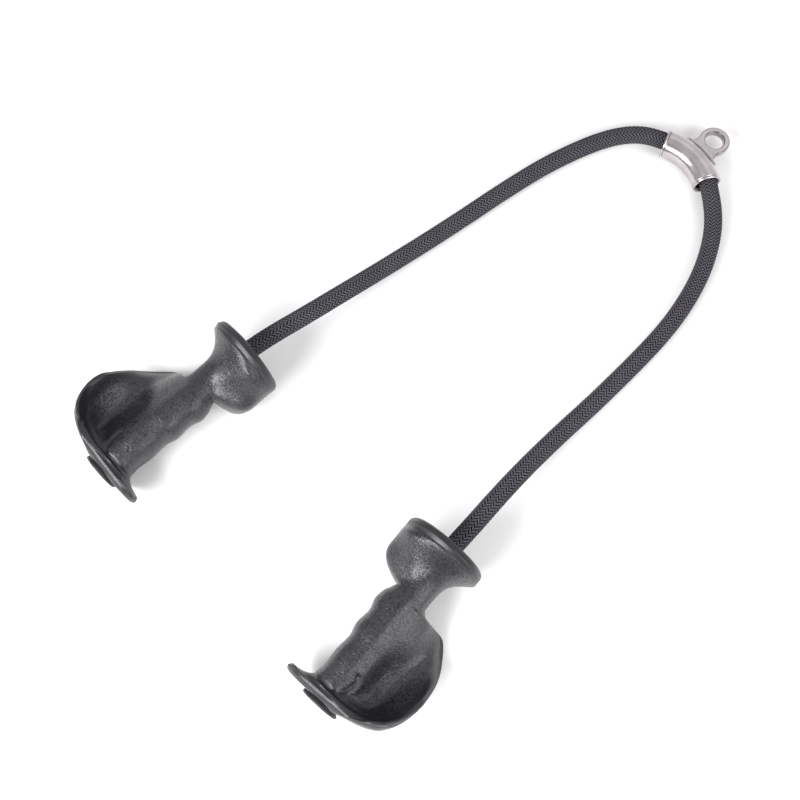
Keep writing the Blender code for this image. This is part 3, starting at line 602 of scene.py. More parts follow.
class ROPESET_OT_rope(bpy.types.Operator):
    """Braid the rope: each leg is two stretches that meet half way down"""

    bl_idname = "ropeset.rope"
    bl_label = "Braided rope"

    def execute(self, context):
        sizes = context.scene.ropeset_rope
        spacing = 0.479 * MM
        steps = 144
        cover = braid_material(sizes)
        for word, side in SIDES.items():
            line = rope_line(word, side, spacing)
            spacing_now = float(np.linalg.norm(np.diff(line, axis=0), axis=1).mean())
            across, up = frames_along(line)
            half = len(line) // 2 - 30 * 2
            pivot = bend_point(-side * BEND_HALF, BEND_RADIUS + ROPE_LEAN)
            mouth = handle_matrix(side) @ Vector((0, 0, 0))
            upper = tube_piece(
                f"{word}_rope_upper", line[:half + 1], across[:half + 1], up[:half + 1], 0.0, sizes, spacing_now, steps)
            lower = tube_piece(
                f"{word}_rope_lower", line[half:], across[half:], up[half:], half * spacing_now, sizes,
                spacing_now, steps)
            for piece in (upper, lower):
                wear(piece, cover)
            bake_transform(upper)
            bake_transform(lower)
            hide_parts("rope_saddle_stretch", f"{word}_rope_leg")
            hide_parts(f"{word}_rope_leg", f"{word}_rope_tail")
        return {"FINISHED"}


# ---------------------------------------------------------------- bracket


def bent(obj, steps):
    """Sweep the selected profile, drawn at the left mouth, through the bend."""
    bpy.ops.mesh.spin(
        steps=steps, angle=2 * BEND_HALF, center=BEND_CENTRE, axis=(0, 0, 1), use_auto_merge=False)
    return obj


def mouth_matrix(angle):
    """Axes at a place in the bend: local Z along the sleeve, local X outwards."""
    spot = bend_point(angle, BEND_RADIUS)
    out = (spot - BEND_CENTRE).normalized()
    up = Vector((0, 0, 1))
    along = out.cross(up)
    matrix = Matrix((out, up, along)).transposed().to_4x4()
    matrix.translation = spot
    return matrix


class ROPESET_OT_sleeve(bpy.types.Operator):
    """Bend the steel sleeve: a ring swept round the bend, with rounded mouths"""

    bl_idname = "ropeset.sleeve"
    bl_label = "Curved sleeve"

    def execute(self, context):
        sizes = context.scene.ropeset_steel
        rim = 96
        deselect()
        at = mouth_matrix(BEND_HALF)
        euler = at.to_euler()
        bpy.ops.mesh.primitive_circle_add(
            vertices=rim, radius=sizes.outer_radius, location=at.translation, rotation=euler)
        sleeve = named("sleeve")
        bpy.ops.object.mode_set(mode="EDIT")
        bpy.ops.mesh.primitive_circle_add(
            vertices=rim, radius=sizes.bore_radius, location=at.translation, rotation=euler)
        bpy.ops.mesh.select_all(action="SELECT")
        bpy.ops.mesh.bridge_edge_loops()
        done()
        settle(sleeve)
        edit(sleeve, "FACE")
        bpy.ops.mesh.select_all(action="SELECT")
        bent(sleeve, 56)
        done()
        outward(sleeve)
        shape = edit(sleeve, "EDGE")
        ends = [mouth_matrix(angle) for angle in (BEND_HALF, -BEND_HALF)]
        for edge in shape.edges:
            middle = (edge.verts[0].co + edge.verts[1].co) / 2
            flat = any(
                abs((vert.co - end.translation).dot(end.col[2].to_3d())) < 1e-5
                for end in ends for vert in edge.verts[:1])
            both = any(
                all(abs((vert.co - end.translation).dot(end.col[2].to_3d())) < 1e-5 for vert in edge.verts)
                for end in ends)
            if flat and both and len(edge.link_faces) == 2:
                angle = edge.link_faces[0].normal.angle(edge.link_faces[1].normal)
                edge.select = angle > 1.0 and middle is not None
        shape.select_flush_mode()
        bmesh.update_edit_mesh(sleeve.data)
        bpy.ops.mesh.bevel(offset=sizes.lip_rounding, segments=5, affect="EDGES")
        done()
        for angle, inward in ((BEND_HALF, -1), (-BEND_HALF, 1)):
            deselect()
            end = mouth_matrix(angle)
            spot = end.translation + end.col[2].to_3d() * (inward * sizes.roll_radius)
            bpy.ops.mesh.primitive_torus_add(
                major_radius=sizes.roll_middle, minor_radius=sizes.roll_radius, major_segments=96, minor_segments=20,
                location=spot, rotation=end.to_euler())
            roll = settle(named("mouth_roll"))
            sleeve.select_set(True)
            roll.select_set(True)
            bpy.context.view_layer.objects.active = sleeve
            bpy.ops.object.join()
        for vert in sleeve.data.vertices:
            vert.co.z = max(vert.co.z, 0.0)
        smooth(sleeve)
        wear(sleeve, steel_material(sizes, "satin_steel", sizes.colour, 0.2))
        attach(sleeve, "bracket")
        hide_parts("curved_sleeve")
        return {"FINISHED"}


PLATE_STEPS = 144
FLARE_STEPS = 20


def plate_outline(sizes):
    """Even turns about the eye hole, and the plate's reach at each: round head, concave flares, straight root."""
    count = FLARE_STEPS
    head = sizes.head_radius
    half_root = sizes.root_width / 2
    low = math.radians(-22)
    right = [
        (head * math.cos(turn), sizes.eye_reach + head * math.sin(turn))
        for turn in np.linspace(math.radians(90), low, count)]
    start = Vector(right[-1])
    tangent = Vector((math.sin(low), -math.cos(low)))
    end = Vector((half_root, sizes.outer_radius * 0.93))
    reach = (end - start).length
    arrive = Vector((0.72, -0.69))
    for t in np.linspace(0, 1, count)[1:]:
        h1 = (1 + 2 * t) * (1 - t) ** 2
        h2 = t * (1 - t) ** 2
        h3 = t * t * (3 - 2 * t)
        h4 = -t * t * (1 - t)
        point = start * h1 + tangent * (h2 * reach) + end * h3 + arrive * (h4 * reach)
        right.append((point.x, point.y))
    right += [(half_root, sizes.outer_radius * 0.72), (0, sizes.outer_radius * 0.72)]
    spots = np.array(right) - np.array((0, sizes.eye_reach))
    down = np.pi / 2 - np.arctan2(spots[:, 1], spots[:, 0])
    turns = np.linspace(0, math.tau, PLATE_STEPS, endpoint=False)
    folded = np.minimum(turns, math.tau - turns)
    return turns, np.interp(folded, down, np.hypot(spots[:, 0], spots[:, 1]))


class ROPESET_OT_eye_plate(bpy.types.Operator):
    """Shape the eye plate: a bridged ring of faces, drawn up to its thickness, with soft edges"""

    bl_idname = "ropeset.eye_plate"
    bl_label = "Eye plate"

    def execute(self, context):
        sizes = context.scene.ropeset_steel
        turns, reaches = plate_outline(sizes)
        deselect()
        low = -sizes.plate_thickness / 2
        bpy.ops.mesh.primitive_circle_add(vertices=PLATE_STEPS, radius=sizes.head_radius, location=(0, 0, 0))
        plate = named("eye_lug")
        for vert, turn, reach in zip(plate.data.vertices, turns, reaches):
            vert.co = (reach * math.sin(turn), sizes.eye_reach + reach * math.cos(turn), low)
        deselect()
        bpy.ops.mesh.primitive_circle_add(vertices=PLATE_STEPS, radius=sizes.hole_radius, location=(0, 0, 0))
        hole = named("eye_hole_ring")
        reach = sizes.hole_radius
        for vert, turn in zip(hole.data.vertices, turns):
            vert.co = (reach * math.sin(turn), sizes.eye_reach + reach * math.cos(turn), low)
        plate.select_set(True)
        bpy.context.view_layer.objects.active = plate
        bpy.ops.object.join()
        bpy.ops.object.mode_set(mode="EDIT")
        bpy.ops.mesh.select_all(action="SELECT")
        bpy.ops.mesh.bridge_edge_loops()
        bpy.ops.mesh.extrude_region_move(TRANSFORM_OT_translate={"value": (0, 0, sizes.plate_thickness)})
        done()
        outward(plate)
        apply(plate, "BEVEL", "soft_edges", width=1.2 * MM, segments=5, limit_method="ANGLE",
              angle_limit=math.radians(60), use_clamp_overlap=True)
        apex = bend_point(0, BEND_RADIUS)
        place(plate, Matrix.Translation(apex) @ Matrix.Rotation(BEND_HEADING - math.pi / 2, 4, "Z"))
        smooth(plate)
        # The 'edge' value peaks where the surface leans at 45 degrees: it marks the rounded edges for painted shade.
        tilt = np.array([vert.normal.z for vert in plate.data.vertices])
        point_values(plate, "edge", 2 * np.abs(tilt) * np.sqrt(np.clip(1 - tilt ** 2, 0, 1)))
        # The plate's steel is a 7% darker copy of the sleeve's: painted shade.
        colour = tuple(c * 0.93 for c in sizes.colour)
        wear(plate, steel_material(sizes, "satin_steel_plate_shaded", colour, 0.2, shaded_edges=True))
        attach(plate, "bracket")
        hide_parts("eye_plate")
        return {"FINISHED"}


# ---------------------------------------------------------------- handles

GRIP_RADIUS = 18.0 * MM
FLANGE_RADIUS = 36.2 * MM
FLANGE_OFFSET = 3.4 * MM
FLANGE_LEAN = 2.4 * MM
LIP_THICKNESS = 9.5 * MM
LOBE_LENGTH = 22.5 * MM
LOBE_DIRECTION = math.radians(-140)
LOBE_WIDTH_SHARE = 1.7
LOBE_SHOULDER_SHARE = 5.0
TRUMPET_SHOULDER = 0.1
NECK_PLACE = 43.0 * MM
LOBE_NECK_PLACE = 49.0 * MM
TRUMPET_SHARE = 2.0
GUARD_TRUMPET_SHARE = 3.2
FLANGE_ROUNDING = 4.2 * MM
FOOT_ROUNDING = 1.6 * MM
FOOT_THICKNESS = 6.4 * MM
FOOT_FILLET = 7.0 * MM
FOOT_FINGER_REACH = 38.0 * MM
FOOT_TOP_REACH = 21.5 * MM
SCOOP_END_LENGTH = 12.0 * MM
GUARD_REACH = 60.0 * MM
GUARD_WALL = 5.0 * MM
GUARD_START = 51.5 * MM
GUARD_BLEND = 5.0 * MM
BORE_RADIUS = 9.8 * MM
BORE_FLARE = 2.0 * MM
BORE_FLARE_DEPTH = 3.0 * MM
COUNTERBORE_RADIUS = 13.6 * MM
COUNTERBORE_DEPTH = 23.0 * MM

SECTION_ANGLES = tuple(math.radians(a) for a in (180, 135, 90, 45, 20, 0, -18, -34, -50, -64, -78, -98, -135))
GRIP_SHARES = (
    (0.00, 0.78, 0.89, 0.85, 0.94),
    (0.30, 0.78, 0.89, 0.85, 0.94),
    (0.34, 0.90, 0.94, 0.89, 1.00),
    (0.39, 1.09, 1.00, 0.94, 1.08),
    (0.435, 1.14, 1.03, 0.98, 1.12),
    (0.51, 0.99, 1.02, 1.00, 1.18),
    (0.59, 1.06, 1.03, 1.00, 1.20),
    (0.67, 0.92, 1.00, 1.00, 1.20),
    (0.77, 0.98, 1.00, 1.00, 1.20),
    (0.855, 0.94, 0.97, 1.00, 1.16),
    (0.91, 1.00, 0.97, 1.00, 1.14),
    (1.00, 1.00, 0.97, 1.00, 1.14),
)
# Palm guard down the handle: rim across and up, foot of the ridge's flank, floor of the bowl,
# how far the rim's crest lies in from its edge (mm), outer wall, underside
GUARD_SHARES = (
    (0.330, 0.53, -0.94, 0.370, -0.02, 0.450, -0.420, 2.2, 0.52, -1.00),
    (0.355, 0.585, -0.93, 0.385, 0.00, 0.480, -0.440, 2.2, 0.57, -1.00),
    (0.365, 0.625, -0.92, 0.390, 0.00, 0.495, -0.430, 2.2, 0.605, -1.00),
    (0.390, 0.695, -0.89, 0.400, 0.02, 0.515, -0.390, 2.2, 0.66, -1.00),
    (0.440, 0.795, -0.82, 0.415, 0.05, 0.545, -0.320, 2.2, 0.75, -1.00),
    (0.500, 0.893, -0.60, 0.420, 0.07, 0.580, -0.270, 2.2, 0.83, -1.00),
    (0.560, 0.960, -0.20, 0.412, 0.04, 0.595, -0.240, 2.4, 0.885, -0.98),
    (0.620, 0.990, 0.22, 0.400, -0.02, 0.595, -0.230, 2.6, 0.91, -0.95),
    (0.680, 1.000, 0.60, 0.395, -0.06, 0.590, -0.225, 2.8, 0.915, -0.93),
    (0.740, 0.985, 0.77, 0.395, -0.05, 0.585, -0.200, 3.0, 0.91, -0.92),
    (0.790, 0.960, 0.86, 0.400, 0.02, 0.575, -0.145, 3.5, 0.90, -0.92),
    (0.850, 0.895, 0.98, 0.395, 0.12, 0.545, 0.010, 4.5, 0.86, -0.93),
    (0.880, 0.840, 1.03, 0.380, 0.22, 0.510, 0.160, 6.0, 0.83, -0.95),
    (0.915, 0.755, 1.06, 0.335, 0.34, 0.460, 0.390, 7.0, 0.78, -0.97),
    (0.940, 0.650, 1.05, 0.280, 0.46, 0.410, 0.600, 7.0, 0.70, -0.98),
    (0.960, 0.520, 1.00, 0.220, 0.58, 0.350, 0.770, 5.5, 0.60, -0.98),
    (0.977, 0.370, 0.88, 0.180, 0.62, 0.267, 0.755, 4.0, 0.47, -0.97),
    (0.990, 0.260, 0.76, 0.135, 0.62, 0.190, 0.700, 3.0, 0.34, -0.94),
    (1.000, 0.200, 0.64, 0.100, 0.59, 0.150, 0.625, 2.5, 0.25, -0.90),
)
# How far the guard stands out of the grip at its front edge
FRONT_SHARES = (
    (0.326, 0.0), (0.340, 0.07), (0.350, 0.22), (0.355, 0.48), (0.360, 0.80), (0.366, 0.95), (0.374, 1.0), (1.0, 1.0),
)
# Crest of the moulded rim seen from above, across and down the handle (mm)
RIM_LINE = (
    (40.0, 56.5), (45.0, 62.0), (51.0, 68.0), (57.0, 77.0), (60.6, 87.0), (61.4, 97.0), (60.6, 106.0), (58.0, 115.2),
    (53.8, 123.8), (47.6, 131.9), (40.0, 137.4), (31.0, 140.8), (19.0, 142.6), (7.4, 143.2), (-8.0, 142.6),
    (-17.0, 143.2), (-25.5, 144.6), (-32.5, 146.4), (-36.0, 148.2),
)
# Fold in the skin where the ridge runs into the foot (mm)
FOLD_LINE = ((3.5, 139.6), (6.5, 138.2), (9.6, 133.8), (11.4, 128.4), (12.0, 123.2), (9.8, 120.2))
FOOT_SHARES = ((-1.00, -0.06), (-0.74, 0.64), (-0.04, 0.98))
FOOT_UNDER_SHARES = ((0.02, -1.00), (-0.70, -0.62))
FOOT_BLEND_SHARES = (0.30, 0.55, 0.75, 0.90)
FOOT_EDGE_SHARES = (
    (0.95, 1.00, 0.90), (0.965, 0.98, 0.98), (0.98, 0.92, 1.00), (0.99, 0.84, 0.985), (1.00, 0.76, 0.95),
)


def steady_columns(table, at):
    """Each column of a table at places along it, smooth and never overshooting."""
    rows = np.array(table, float)
    places, values = rows[:, 0], rows[:, 1:]
    at = np.clip(at, places[0], places[-1])
    steps = np.diff(places)[:, None]
    rises = np.diff(values, axis=0) / steps
    before, after = rises[:-1], rises[1:]
    same = before * after > 0
    inner = np.where(same, 2 * before * after / np.where(same, before + after, 1), 0)
    slopes = np.vstack([rises[:1], inner, rises[-1:]])
    i = np.clip(np.searchsorted(places, at, side="right") - 1, 0, len(steps) - 1)
    t = ((at - places[i]) / steps[i, 0])[:, None]
    start = (1 + 2 * t) * (1 - t) ** 2 * values[i] + t * (1 - t) ** 2 * steps[i] * slopes[i]
    end = t * t * (3 - 2 * t) * values[i + 1] - t * t * (1 - t) * steps[i] * slopes[i + 1]
    return (start + end).T


def axis_height(along):
    return (MOUTH_PLACE[1] - along * math.sin(HANDLE_SLOPE)) / math.cos(HANDLE_SLOPE)


def section_points(share):
    """The thirteen guide points of the grip's outline at each place: (places, points, 2)."""
    along = share * HANDLE_LENGTH
    height = axis_height(along)
    angles = np.array(SECTION_ANGLES)
    finger, top, guard, under = (v[:, None] * GRIP_RADIUS for v in steady_columns(GRIP_SHARES, share))
    wide = np.where(np.cos(angles) > 0, guard, finger)
    tall = np.where(np.sin(angles) >= 0, top, under)
    points = np.stack([wide * np.cos(angles), tall * np.sin(angles)], axis=-1)

    # flange with its lobe
    lean = ((1 + np.cos(angles - LOBE_DIRECTION)) / 2) ** LOBE_WIDTH_SHARE
    wall = mix(LIP_THICKNESS, LOBE_LENGTH, lean)
    fall = np.clip((along[:, None] - wall) / (mix(NECK_PLACE, LOBE_NECK_PLACE, lean) - wall), 0, 1)
    shoulder = 1 + TRUMPET_SHOULDER + LOBE_SHOULDER_SHARE * lean ** 3
    flare = mix(TRUMPET_SHARE, GUARD_TRUMPET_SHARE, ((1 + np.cos(angles)) / 2) ** 2)
    swell = (1 - fall ** shoulder) ** (1 + flare * (1 - lean) ** 2)
    rim = np.stack([FLANGE_RADIUS * np.cos(angles) - FLANGE_OFFSET, FLANGE_RADIUS * np.sin(angles)], axis=-1)
    points = points + (rim - points) * swell[..., None]

    # palm guard
    columns = steady_columns(GUARD_SHARES, share)
    rim_x, flank_x, floor_x, wall_x = (columns[k] * GUARD_REACH for k in (0, 2, 4, 7))
    rim_y, flank_y, floor_y, back = (columns[k] * height for k in (1, 3, 5, 8))
    inset = columns[6] * MM
    crest_x = rim_x - np.minimum(inset, (rim_x - floor_x) / 2)
    climb = 0.5 - 0.04 * np.tanh((rim_y - floor_y) / (8 * MM))
    grown = points.copy()
    grown[:, 3] = points[:, 3] * 0.94
    grown[:, 4] = np.stack([flank_x, flank_y], -1)
    grown[:, 5] = np.stack([floor_x, floor_y], -1)
    grown[:, 6] = np.stack([mix(floor_x, crest_x, 0.66), mix(floor_y, rim_y, climb)], -1)
    grown[:, 7] = np.stack([crest_x, rim_y], -1)
    grown[:, 8] = np.stack([rim_x, rim_y - 0.7 * (rim_x - crest_x)], -1)
    grown[:, 9] = np.stack([wall_x, mix(back, rim_y, 0.4)], -1)
    grown[:, 10] = np.stack([mix(flank_x, wall_x, 0.62), back], -1)
    grown[:, 11] = np.stack([np.zeros_like(back), mix(points[:, 11, 1], back, 0.5)], -1)
    (share_out,) = steady_columns(FRONT_SHARES, share)
    points = points + (grown - points) * share_out[:, None, None]

    # foot plate
    face = HANDLE_LENGTH - FOOT_THICKNESS
    run = np.clip((along - face + FOOT_FILLET) / FOOT_FILLET, 0, 1)
    spread = mix(run ** 2, 1 - np.sqrt(1 - run * run), 0.6)[:, None]
    filled = ease(face - SCOOP_END_LENGTH, face, along)[:, None]
    top_share, finger_share = steady_columns(FOOT_EDGE_SHARES, share)
    top = FOOT_TOP_REACH * top_share
    reach = FOOT_FINGER_REACH * finger_share
    foot = points.copy()
    for i, (x, y) in list(enumerate(FOOT_SHARES)) + [(11 + i, p) for i, p in enumerate(FOOT_UNDER_SHARES)]:
        goal = np.stack([x * reach, y * (top if y > 0 else height)], -1)
        foot[:, i] = points[:, i] + (goal - points[:, i]) * spread
    rim = points[:, 7]
    edge = np.stack([foot[:, 2, 0], np.maximum(top, 0)], -1)
    for i, spot in enumerate(FOOT_BLEND_SHARES, 3):
        goal = edge + (rim - edge) * spot
        foot[:, i] = points[:, i] + (goal - points[:, i]) * filled
    points = foot

    # rounded ends
    for depth, rounding in ((along, FLANGE_ROUNDING), (HANDLE_LENGTH - along, FOOT_ROUNDING)):
        left = np.clip(rounding - depth, 0, None)
        inset = rounding - np.sqrt(rounding ** 2 - left ** 2)
        points = points * (1 - inset[:, None] / np.linalg.norm(points, axis=-1))[..., None]
    return points


def closed_curve(points, steps):
    """Smooth closed curves through guide points: (places, points * steps, 2)."""
    count = points.shape[1]
    p0, p1, p2, p3 = (np.roll(points, 1 - k, axis=1) for k in range(4))
    k1 = np.sqrt(np.linalg.norm(p1 - p0, axis=-1))
    k2 = k1 + np.sqrt(np.linalg.norm(p2 - p1, axis=-1))
    k3 = k2 + np.sqrt(np.linalg.norm(p3 - p2, axis=-1))
    k0 = np.zeros_like(k1)
    out = []
    for step in range(steps):
        at = mix(k1, k2, step / steps)

        def between(a, b, ka, kb):
            return a * ((kb - at) / (kb - ka))[..., None] + b * ((at - ka) / (kb - ka))[..., None]

        a1, a2, a3 = between(p0, p1, k0, k1), between(p1, p2, k1, k2), between(p2, p3, k2, k3)
        out.append(between(between(a1, a2, k0, k2), between(a2, a3, k1, k3), k1, k2))
    return np.stack(out, axis=2).reshape(points.shape[0], count * steps, 2)


def station_places(count):
    """Places down the handle, closer together at both ends and at the guard's front edge."""
    even = np.linspace(0, 1, count)
    close = [np.linspace(low, high, count // 8) for low, high in ((0, 0.045), (0.345, 0.37), (0.955, 1.0))]
    return np.unique(np.round(np.concatenate([even, *close]), 5))


def line_offsets(spots, line):
    """Signed distance of flat spots from an open line: positive on the left of its run."""
    best = np.full(spots.shape[:-1], np.inf)
    signed = np.zeros_like(best)
    for start, end in zip(line[:-1], line[1:]):
        run = np.subtract(end, start)
        away = spots - start
        t = np.clip(away @ run / (run @ run), 0, 1)
        gap = away - t[..., None] * run
        distance = np.linalg.norm(gap, axis=-1)
        side = np.sign(run[0] * away[..., 1] - run[1] * away[..., 0])
        signed = np.where(distance < best, distance * side, signed)
        best = np.minimum(best, distance)
    return signed


def bump_at(distance, middle, width):
    return np.exp(-((distance - middle) / width) ** 2)


def grid_normals(skin):
    """Outward directions of a closed sheet of points."""
    down = np.gradient(skin, axis=0)
    around = np.roll(skin, -1, axis=1) - np.roll(skin, 1, axis=1)
    normals = np.cross(around, down)
    normals /= np.maximum(np.linalg.norm(normals, axis=-1), 1e-9)[..., None]
    middle = skin.mean(axis=1, keepdims=True)
    return normals * np.sign(((skin - middle) * normals).sum(axis=(0, 1, 2)))


def handle_skin(rows, steps, sizes):
    """The grip's outside as (places, points, 3) in its own frame, guard towards +X, and its grain."""
    share = station_places(rows)
    outline = closed_curve(section_points(share), steps)
    lowest = -axis_height(share * HANDLE_LENGTH)
    outline[..., 1] = np.maximum(outline[..., 1], lowest[:, None])
    skin = np.empty((*outline.shape[:2], 3))
    skin[..., 0] = outline[..., 0]
    skin[..., 1] = -share[:, None] * HANDLE_LENGTH
    skin[..., 2] = outline[..., 1]
    normals = grid_normals(skin)

    # moulded rim, its groove, and the fold beside the ridge, on the side that faces up
    spots = np.stack([skin[..., 0], -skin[..., 1]], axis=-1) / MM
    inside = line_offsets(spots, RIM_LINE)
    upper = ease(0.0, 0.35, normals[..., 2]) * ease(50.0, 56.0, spots[..., 1])
    shown = upper * ease(72.0, 96.0, spots[..., 1]) * mix(0.4, 1.0, ease(112.0, 134.0, spots[..., 1]))
    relief = shown * (
        bump_at(inside, 0, sizes.bead_width / MM / 2) * sizes.bead_height
        - bump_at(inside, 2.9, 1.2) * sizes.groove_depth)
    fold = line_offsets(spots, FOLD_LINE)
    relief += upper * (0.5 * bump_at(fold, 3.4, 2.4) - 0.8 * bump_at(fold, 0, 1.2)) * MM

    # raised line and step behind the flange's edge
    down = spots[..., 1]
    relief += ease(0.0, 0.6, normals[..., 2]) * (
        bump_at(down, 5.6, 1.5) * sizes.bead_height * 0.6 - bump_at(down, 9.4, 2.2) * sizes.groove_depth)
    skin = skin + normals * relief[..., None]

    # the flange's face leans to the rope at its top
    lean = (1 - ease(4.0, 26.0, down)) * skin[..., 2] / FLANGE_RADIUS * FLANGE_LEAN
    skin[..., 1] += lean
    skin[..., 2] = np.maximum(skin[..., 2], lowest[:, None])

    near = ease(2.5, 9.0, np.abs(inside)) * (inside > 0) + 0.3 * (inside <= 0)
    grain = mix(1.0, near, upper) * ease(6.0, 11.0, down)
    return skin, 0.15 + 0.85 * grain


def inner_rows(skin):
    """Rows that close the skin: foot face, seat for the end, bore and flange face."""
    first, last = skin[0], skin[-1]
    turn_first = np.unwrap(np.arctan2(first[:, 2], first[:, 0]))
    turn_last = np.unwrap(np.arctan2(last[:, 2], last[:, 0]))
    turn_last += math.tau * np.round((turn_first[0] - turn_last[0]) / math.tau)

    def ring(radius, depth, share):
        turn = mix(turn_last, turn_first, share)
        return np.stack([radius * np.cos(turn), np.full_like(turn, -depth), radius * np.sin(turn)], -1)

    seat = HANDLE_LENGTH - COUNTERBORE_DEPTH
    rows = []
    edge = ring(COUNTERBORE_RADIUS + 0.5 * MM, HANDLE_LENGTH, 0)
    for k in (0.3, 0.6, 1.0):
        rows.append(last + (edge - last) * k)
    for radius, depth in (
        (COUNTERBORE_RADIUS, HANDLE_LENGTH - 0.5 * MM), (COUNTERBORE_RADIUS, HANDLE_LENGTH - 1.0 * MM),
        (COUNTERBORE_RADIUS, seat + 0.2 * MM), (COUNTERBORE_RADIUS, seat), (COUNTERBORE_RADIUS - 0.2 * MM, seat),
        (BORE_RADIUS + 0.2 * MM, seat), (BORE_RADIUS, seat),
    ):
        rows.append(ring(radius, depth, 0))
    for k in np.linspace(0, 1, 14)[1:]:
        rows.append(ring(BORE_RADIUS, mix(seat, BORE_FLARE_DEPTH, k), k))
    for k in (0.5, 0.9, 1.0):
        rows.append(ring(BORE_RADIUS + BORE_FLARE * k, BORE_FLARE_DEPTH * (1 - k), 1))
    mouth = rows[-1]
    for k in (0.08, 0.3, 0.6, 0.85):
        rows.append(mouth + (first - mouth) * k)
    return np.array(rows)


def handle_piece(name, sizes):
    """A sheet rolled into the grip, closed through its bore, with its own frame's shape."""
    skin, grain = handle_skin(250, 18, sizes)
    inner = inner_rows(skin)
    rows = np.concatenate([skin, inner, skin[:1]])
    rows = np.concatenate([rows, rows[:, :1]], axis=1)
    grain = np.concatenate([grain, np.full(inner.shape[:2], 0.2), grain[:1]])
    grain = np.concatenate([grain, grain[:, :1]], axis=1)
    deselect()
    bpy.ops.mesh.primitive_grid_add(x_subdivisions=rows.shape[1] - 1, y_subdivisions=rows.shape[0] - 1, size=0.1)
    obj = named(name)
    obj.data.vertices.foreach_set("co", rows.astype(np.float32).ravel())
    point_values(obj, "grain", grain)
    outward(obj)
    return smooth(obj, math.radians(50))


class ROPESET_OT_handles(bpy.types.Operator):
    """Mould the right grip and its mirrored left one"""

    bl_idname = "ropeset.handles"
    bl_label = "Moulded grips"

    def execute(self, context):
        sizes = context.scene.ropeset_grip
        skin = grip_material(sizes)
        right = handle_piece("right_grip", sizes)
        left = right.copy()
        left.data = right.data.copy()
        left.name = left.data.name = "left_grip"
        context.scene.collection.objects.link(left)
        left.data.transform(Matrix.Scale(-1, 4, (1, 0, 0)))
        left.data.flip_normals()
        for obj, word, side in ((right, "right", 1), (left, "left", -1)):
            place(obj, handle_matrix(side))
            wear(obj, skin)
            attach(obj, f"{word}_handle")
            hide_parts(f"{word}_handle_grip")
        return {"FINISHED"}


class ROPESET_OT_fittings(bpy.types.Operator):
    """Finish the carried-over fittings: liners, washers, ferrules, end caps and weld"""

    bl_idname = "ropeset.fittings"
    bl_label = "Fittings"

    def execute(self, context):
        steel = context.scene.ropeset_steel
        nylon = nylon_material("black_nylon", (0.02, 0.02, 0.022))
        zinc = steel_material(steel, "zinc_steel", (0.5, 0.51, 0.53), 0.36, depth=0.00002)
        bright = steel_material(steel, "satin_steel_weld", tuple(steel.colour), 0.3, depth=0.00004)
        for word in SIDES:
            for node in ("bore_liner", "end_cap"):
                wear(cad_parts[f"{word}_{node}"], nylon)
            for node in ("load_washer", "rope_ferrule"):
                wear(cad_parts[f"{word}_{node}"], zinc)
        wear(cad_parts["weld_bead"], bright)
        return {"FINISHED"}


# ---------------------------------------------------------------- stage


# Soft boxes round the table: name, place, side, power in watts
SOFT_BOXES = (
    ("front_box", (-0.12, -1.1, 0.82), (1.0, 0.42), 25.0),
    ("right_box", (1.35, 0.1, 0.9), (1.1, 1.1), 17.0),
    ("left_box", (-1.25, 0.5, 0.95), (1.6, 1.6), 2.5),
    ("back_box", (0.15, 1.6, 0.9), (2.0, 2.0), 5.0),
    ("top_box", (-0.35, 0.35, 1.7), (2.0, 2.0), 2.4),
)


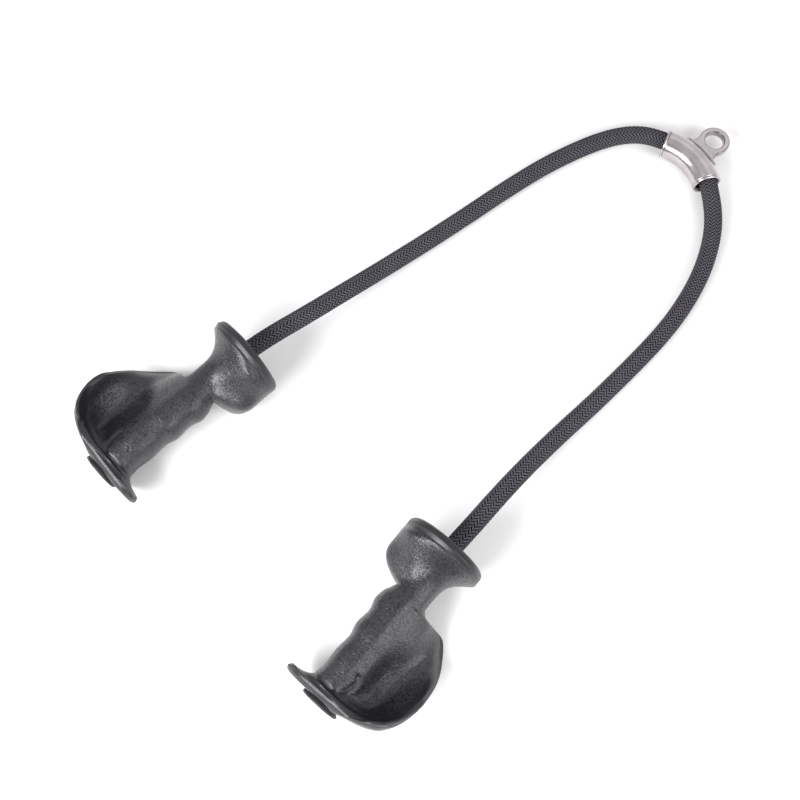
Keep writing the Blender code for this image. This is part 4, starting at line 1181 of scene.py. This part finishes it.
class ROPESET_OT_stage(bpy.types.Operator):
    """Set the camera, the pale floor and the soft boxes"""

    bl_idname = "ropeset.stage"
    bl_label = "Floor, camera and light"

    def execute(self, context):
        stage = context.scene.ropeset_stage
        deselect()
        target = Vector((-0.00665, -0.0842, 0))
        a, e = stage.azimuth, stage.elevation
        back = Vector((math.sin(a) * math.cos(e), -math.cos(a) * math.cos(e), math.sin(e)))
        bpy.ops.object.camera_add(location=target + back * stage.distance)
        camera = bpy.context.active_object
        camera.rotation_mode = "QUATERNION"
        camera.rotation_quaternion = (-back).to_track_quat("-Z", "Y")
        camera.data.lens = stage.lens
        camera.data.sensor_width = 36
        camera.data.clip_end = 20
        context.scene.camera = camera

        deselect()
        bpy.ops.mesh.primitive_plane_add(size=stage.floor_width, location=(0, 0, -0.0001))
        floor = settle(named("floor"))
        wear(floor, floor_material(tuple(stage.floor_colour)))

        world = bpy.data.worlds.new("studio")
        context.scene.world = world
        world.use_nodes = True
        world.node_tree.nodes["Background"].inputs["Color"].default_value = (0.985, 0.975, 1.0, 1)
        world.node_tree.nodes["Background"].inputs["Strength"].default_value = stage.sky
        context.scene.view_settings.view_transform = "Standard"

        for name, spot, size, power in SOFT_BOXES:
            deselect()
            bpy.ops.object.light_add(type="AREA", location=spot)
            lamp = bpy.context.active_object
            lamp.name = name
            lamp.data.shape = "RECTANGLE"
            lamp.data.size, lamp.data.size_y = size
            lamp.data.energy = power * stage.light
            lamp.rotation_euler = (Vector((0, 0, 0)) - Vector(spot)).to_track_quat("-Z", "Y").to_euler()
        return {"FINISHED"}


class ROPESET_PT_panel(bpy.types.Panel):
    """Lists the pieces of the rope attachment"""

    bl_label = "Rope Attachment"
    bl_idname = "ROPESET_PT_panel"
    bl_space_type = "VIEW_3D"
    bl_region_type = "UI"
    bl_category = "Rope Attachment"

    def draw(self, context):
        for operator in STEPS:
            self.layout.operator(operator.bl_idname, text=operator.bl_label)
        for name, group in GROUPS.items():
            box = self.layout.box()
            for key in group.__annotations__:
                box.prop(getattr(context.scene, name), key)


GROUPS = {
    "ropeset_stage": StageSettings,
    "ropeset_rope": RopeSettings,
    "ropeset_steel": SteelSettings,
    "ropeset_grip": GripSettings,
}
STEPS = (
    ROPESET_OT_stage,
    ROPESET_OT_rope,
    ROPESET_OT_sleeve,
    ROPESET_OT_eye_plate,
    ROPESET_OT_handles,
    ROPESET_OT_fittings,
)


def register():
    for cls in (*GROUPS.values(), *STEPS, ROPESET_PT_panel):
        bpy.utils.register_class(cls)
    for name, group in GROUPS.items():
        setattr(bpy.types.Scene, name, PointerProperty(type=group))


def unregister():
    for name in GROUPS:
        delattr(bpy.types.Scene, name)
    for cls in reversed((*GROUPS.values(), *STEPS, ROPESET_PT_panel)):
        bpy.utils.unregister_class(cls)


def main():
    register()
    for step in STEPS:
        getattr(bpy.ops.ropeset, step.bl_idname.split(".")[1])()
    deselect()


if __name__ == "__main__":
    main()
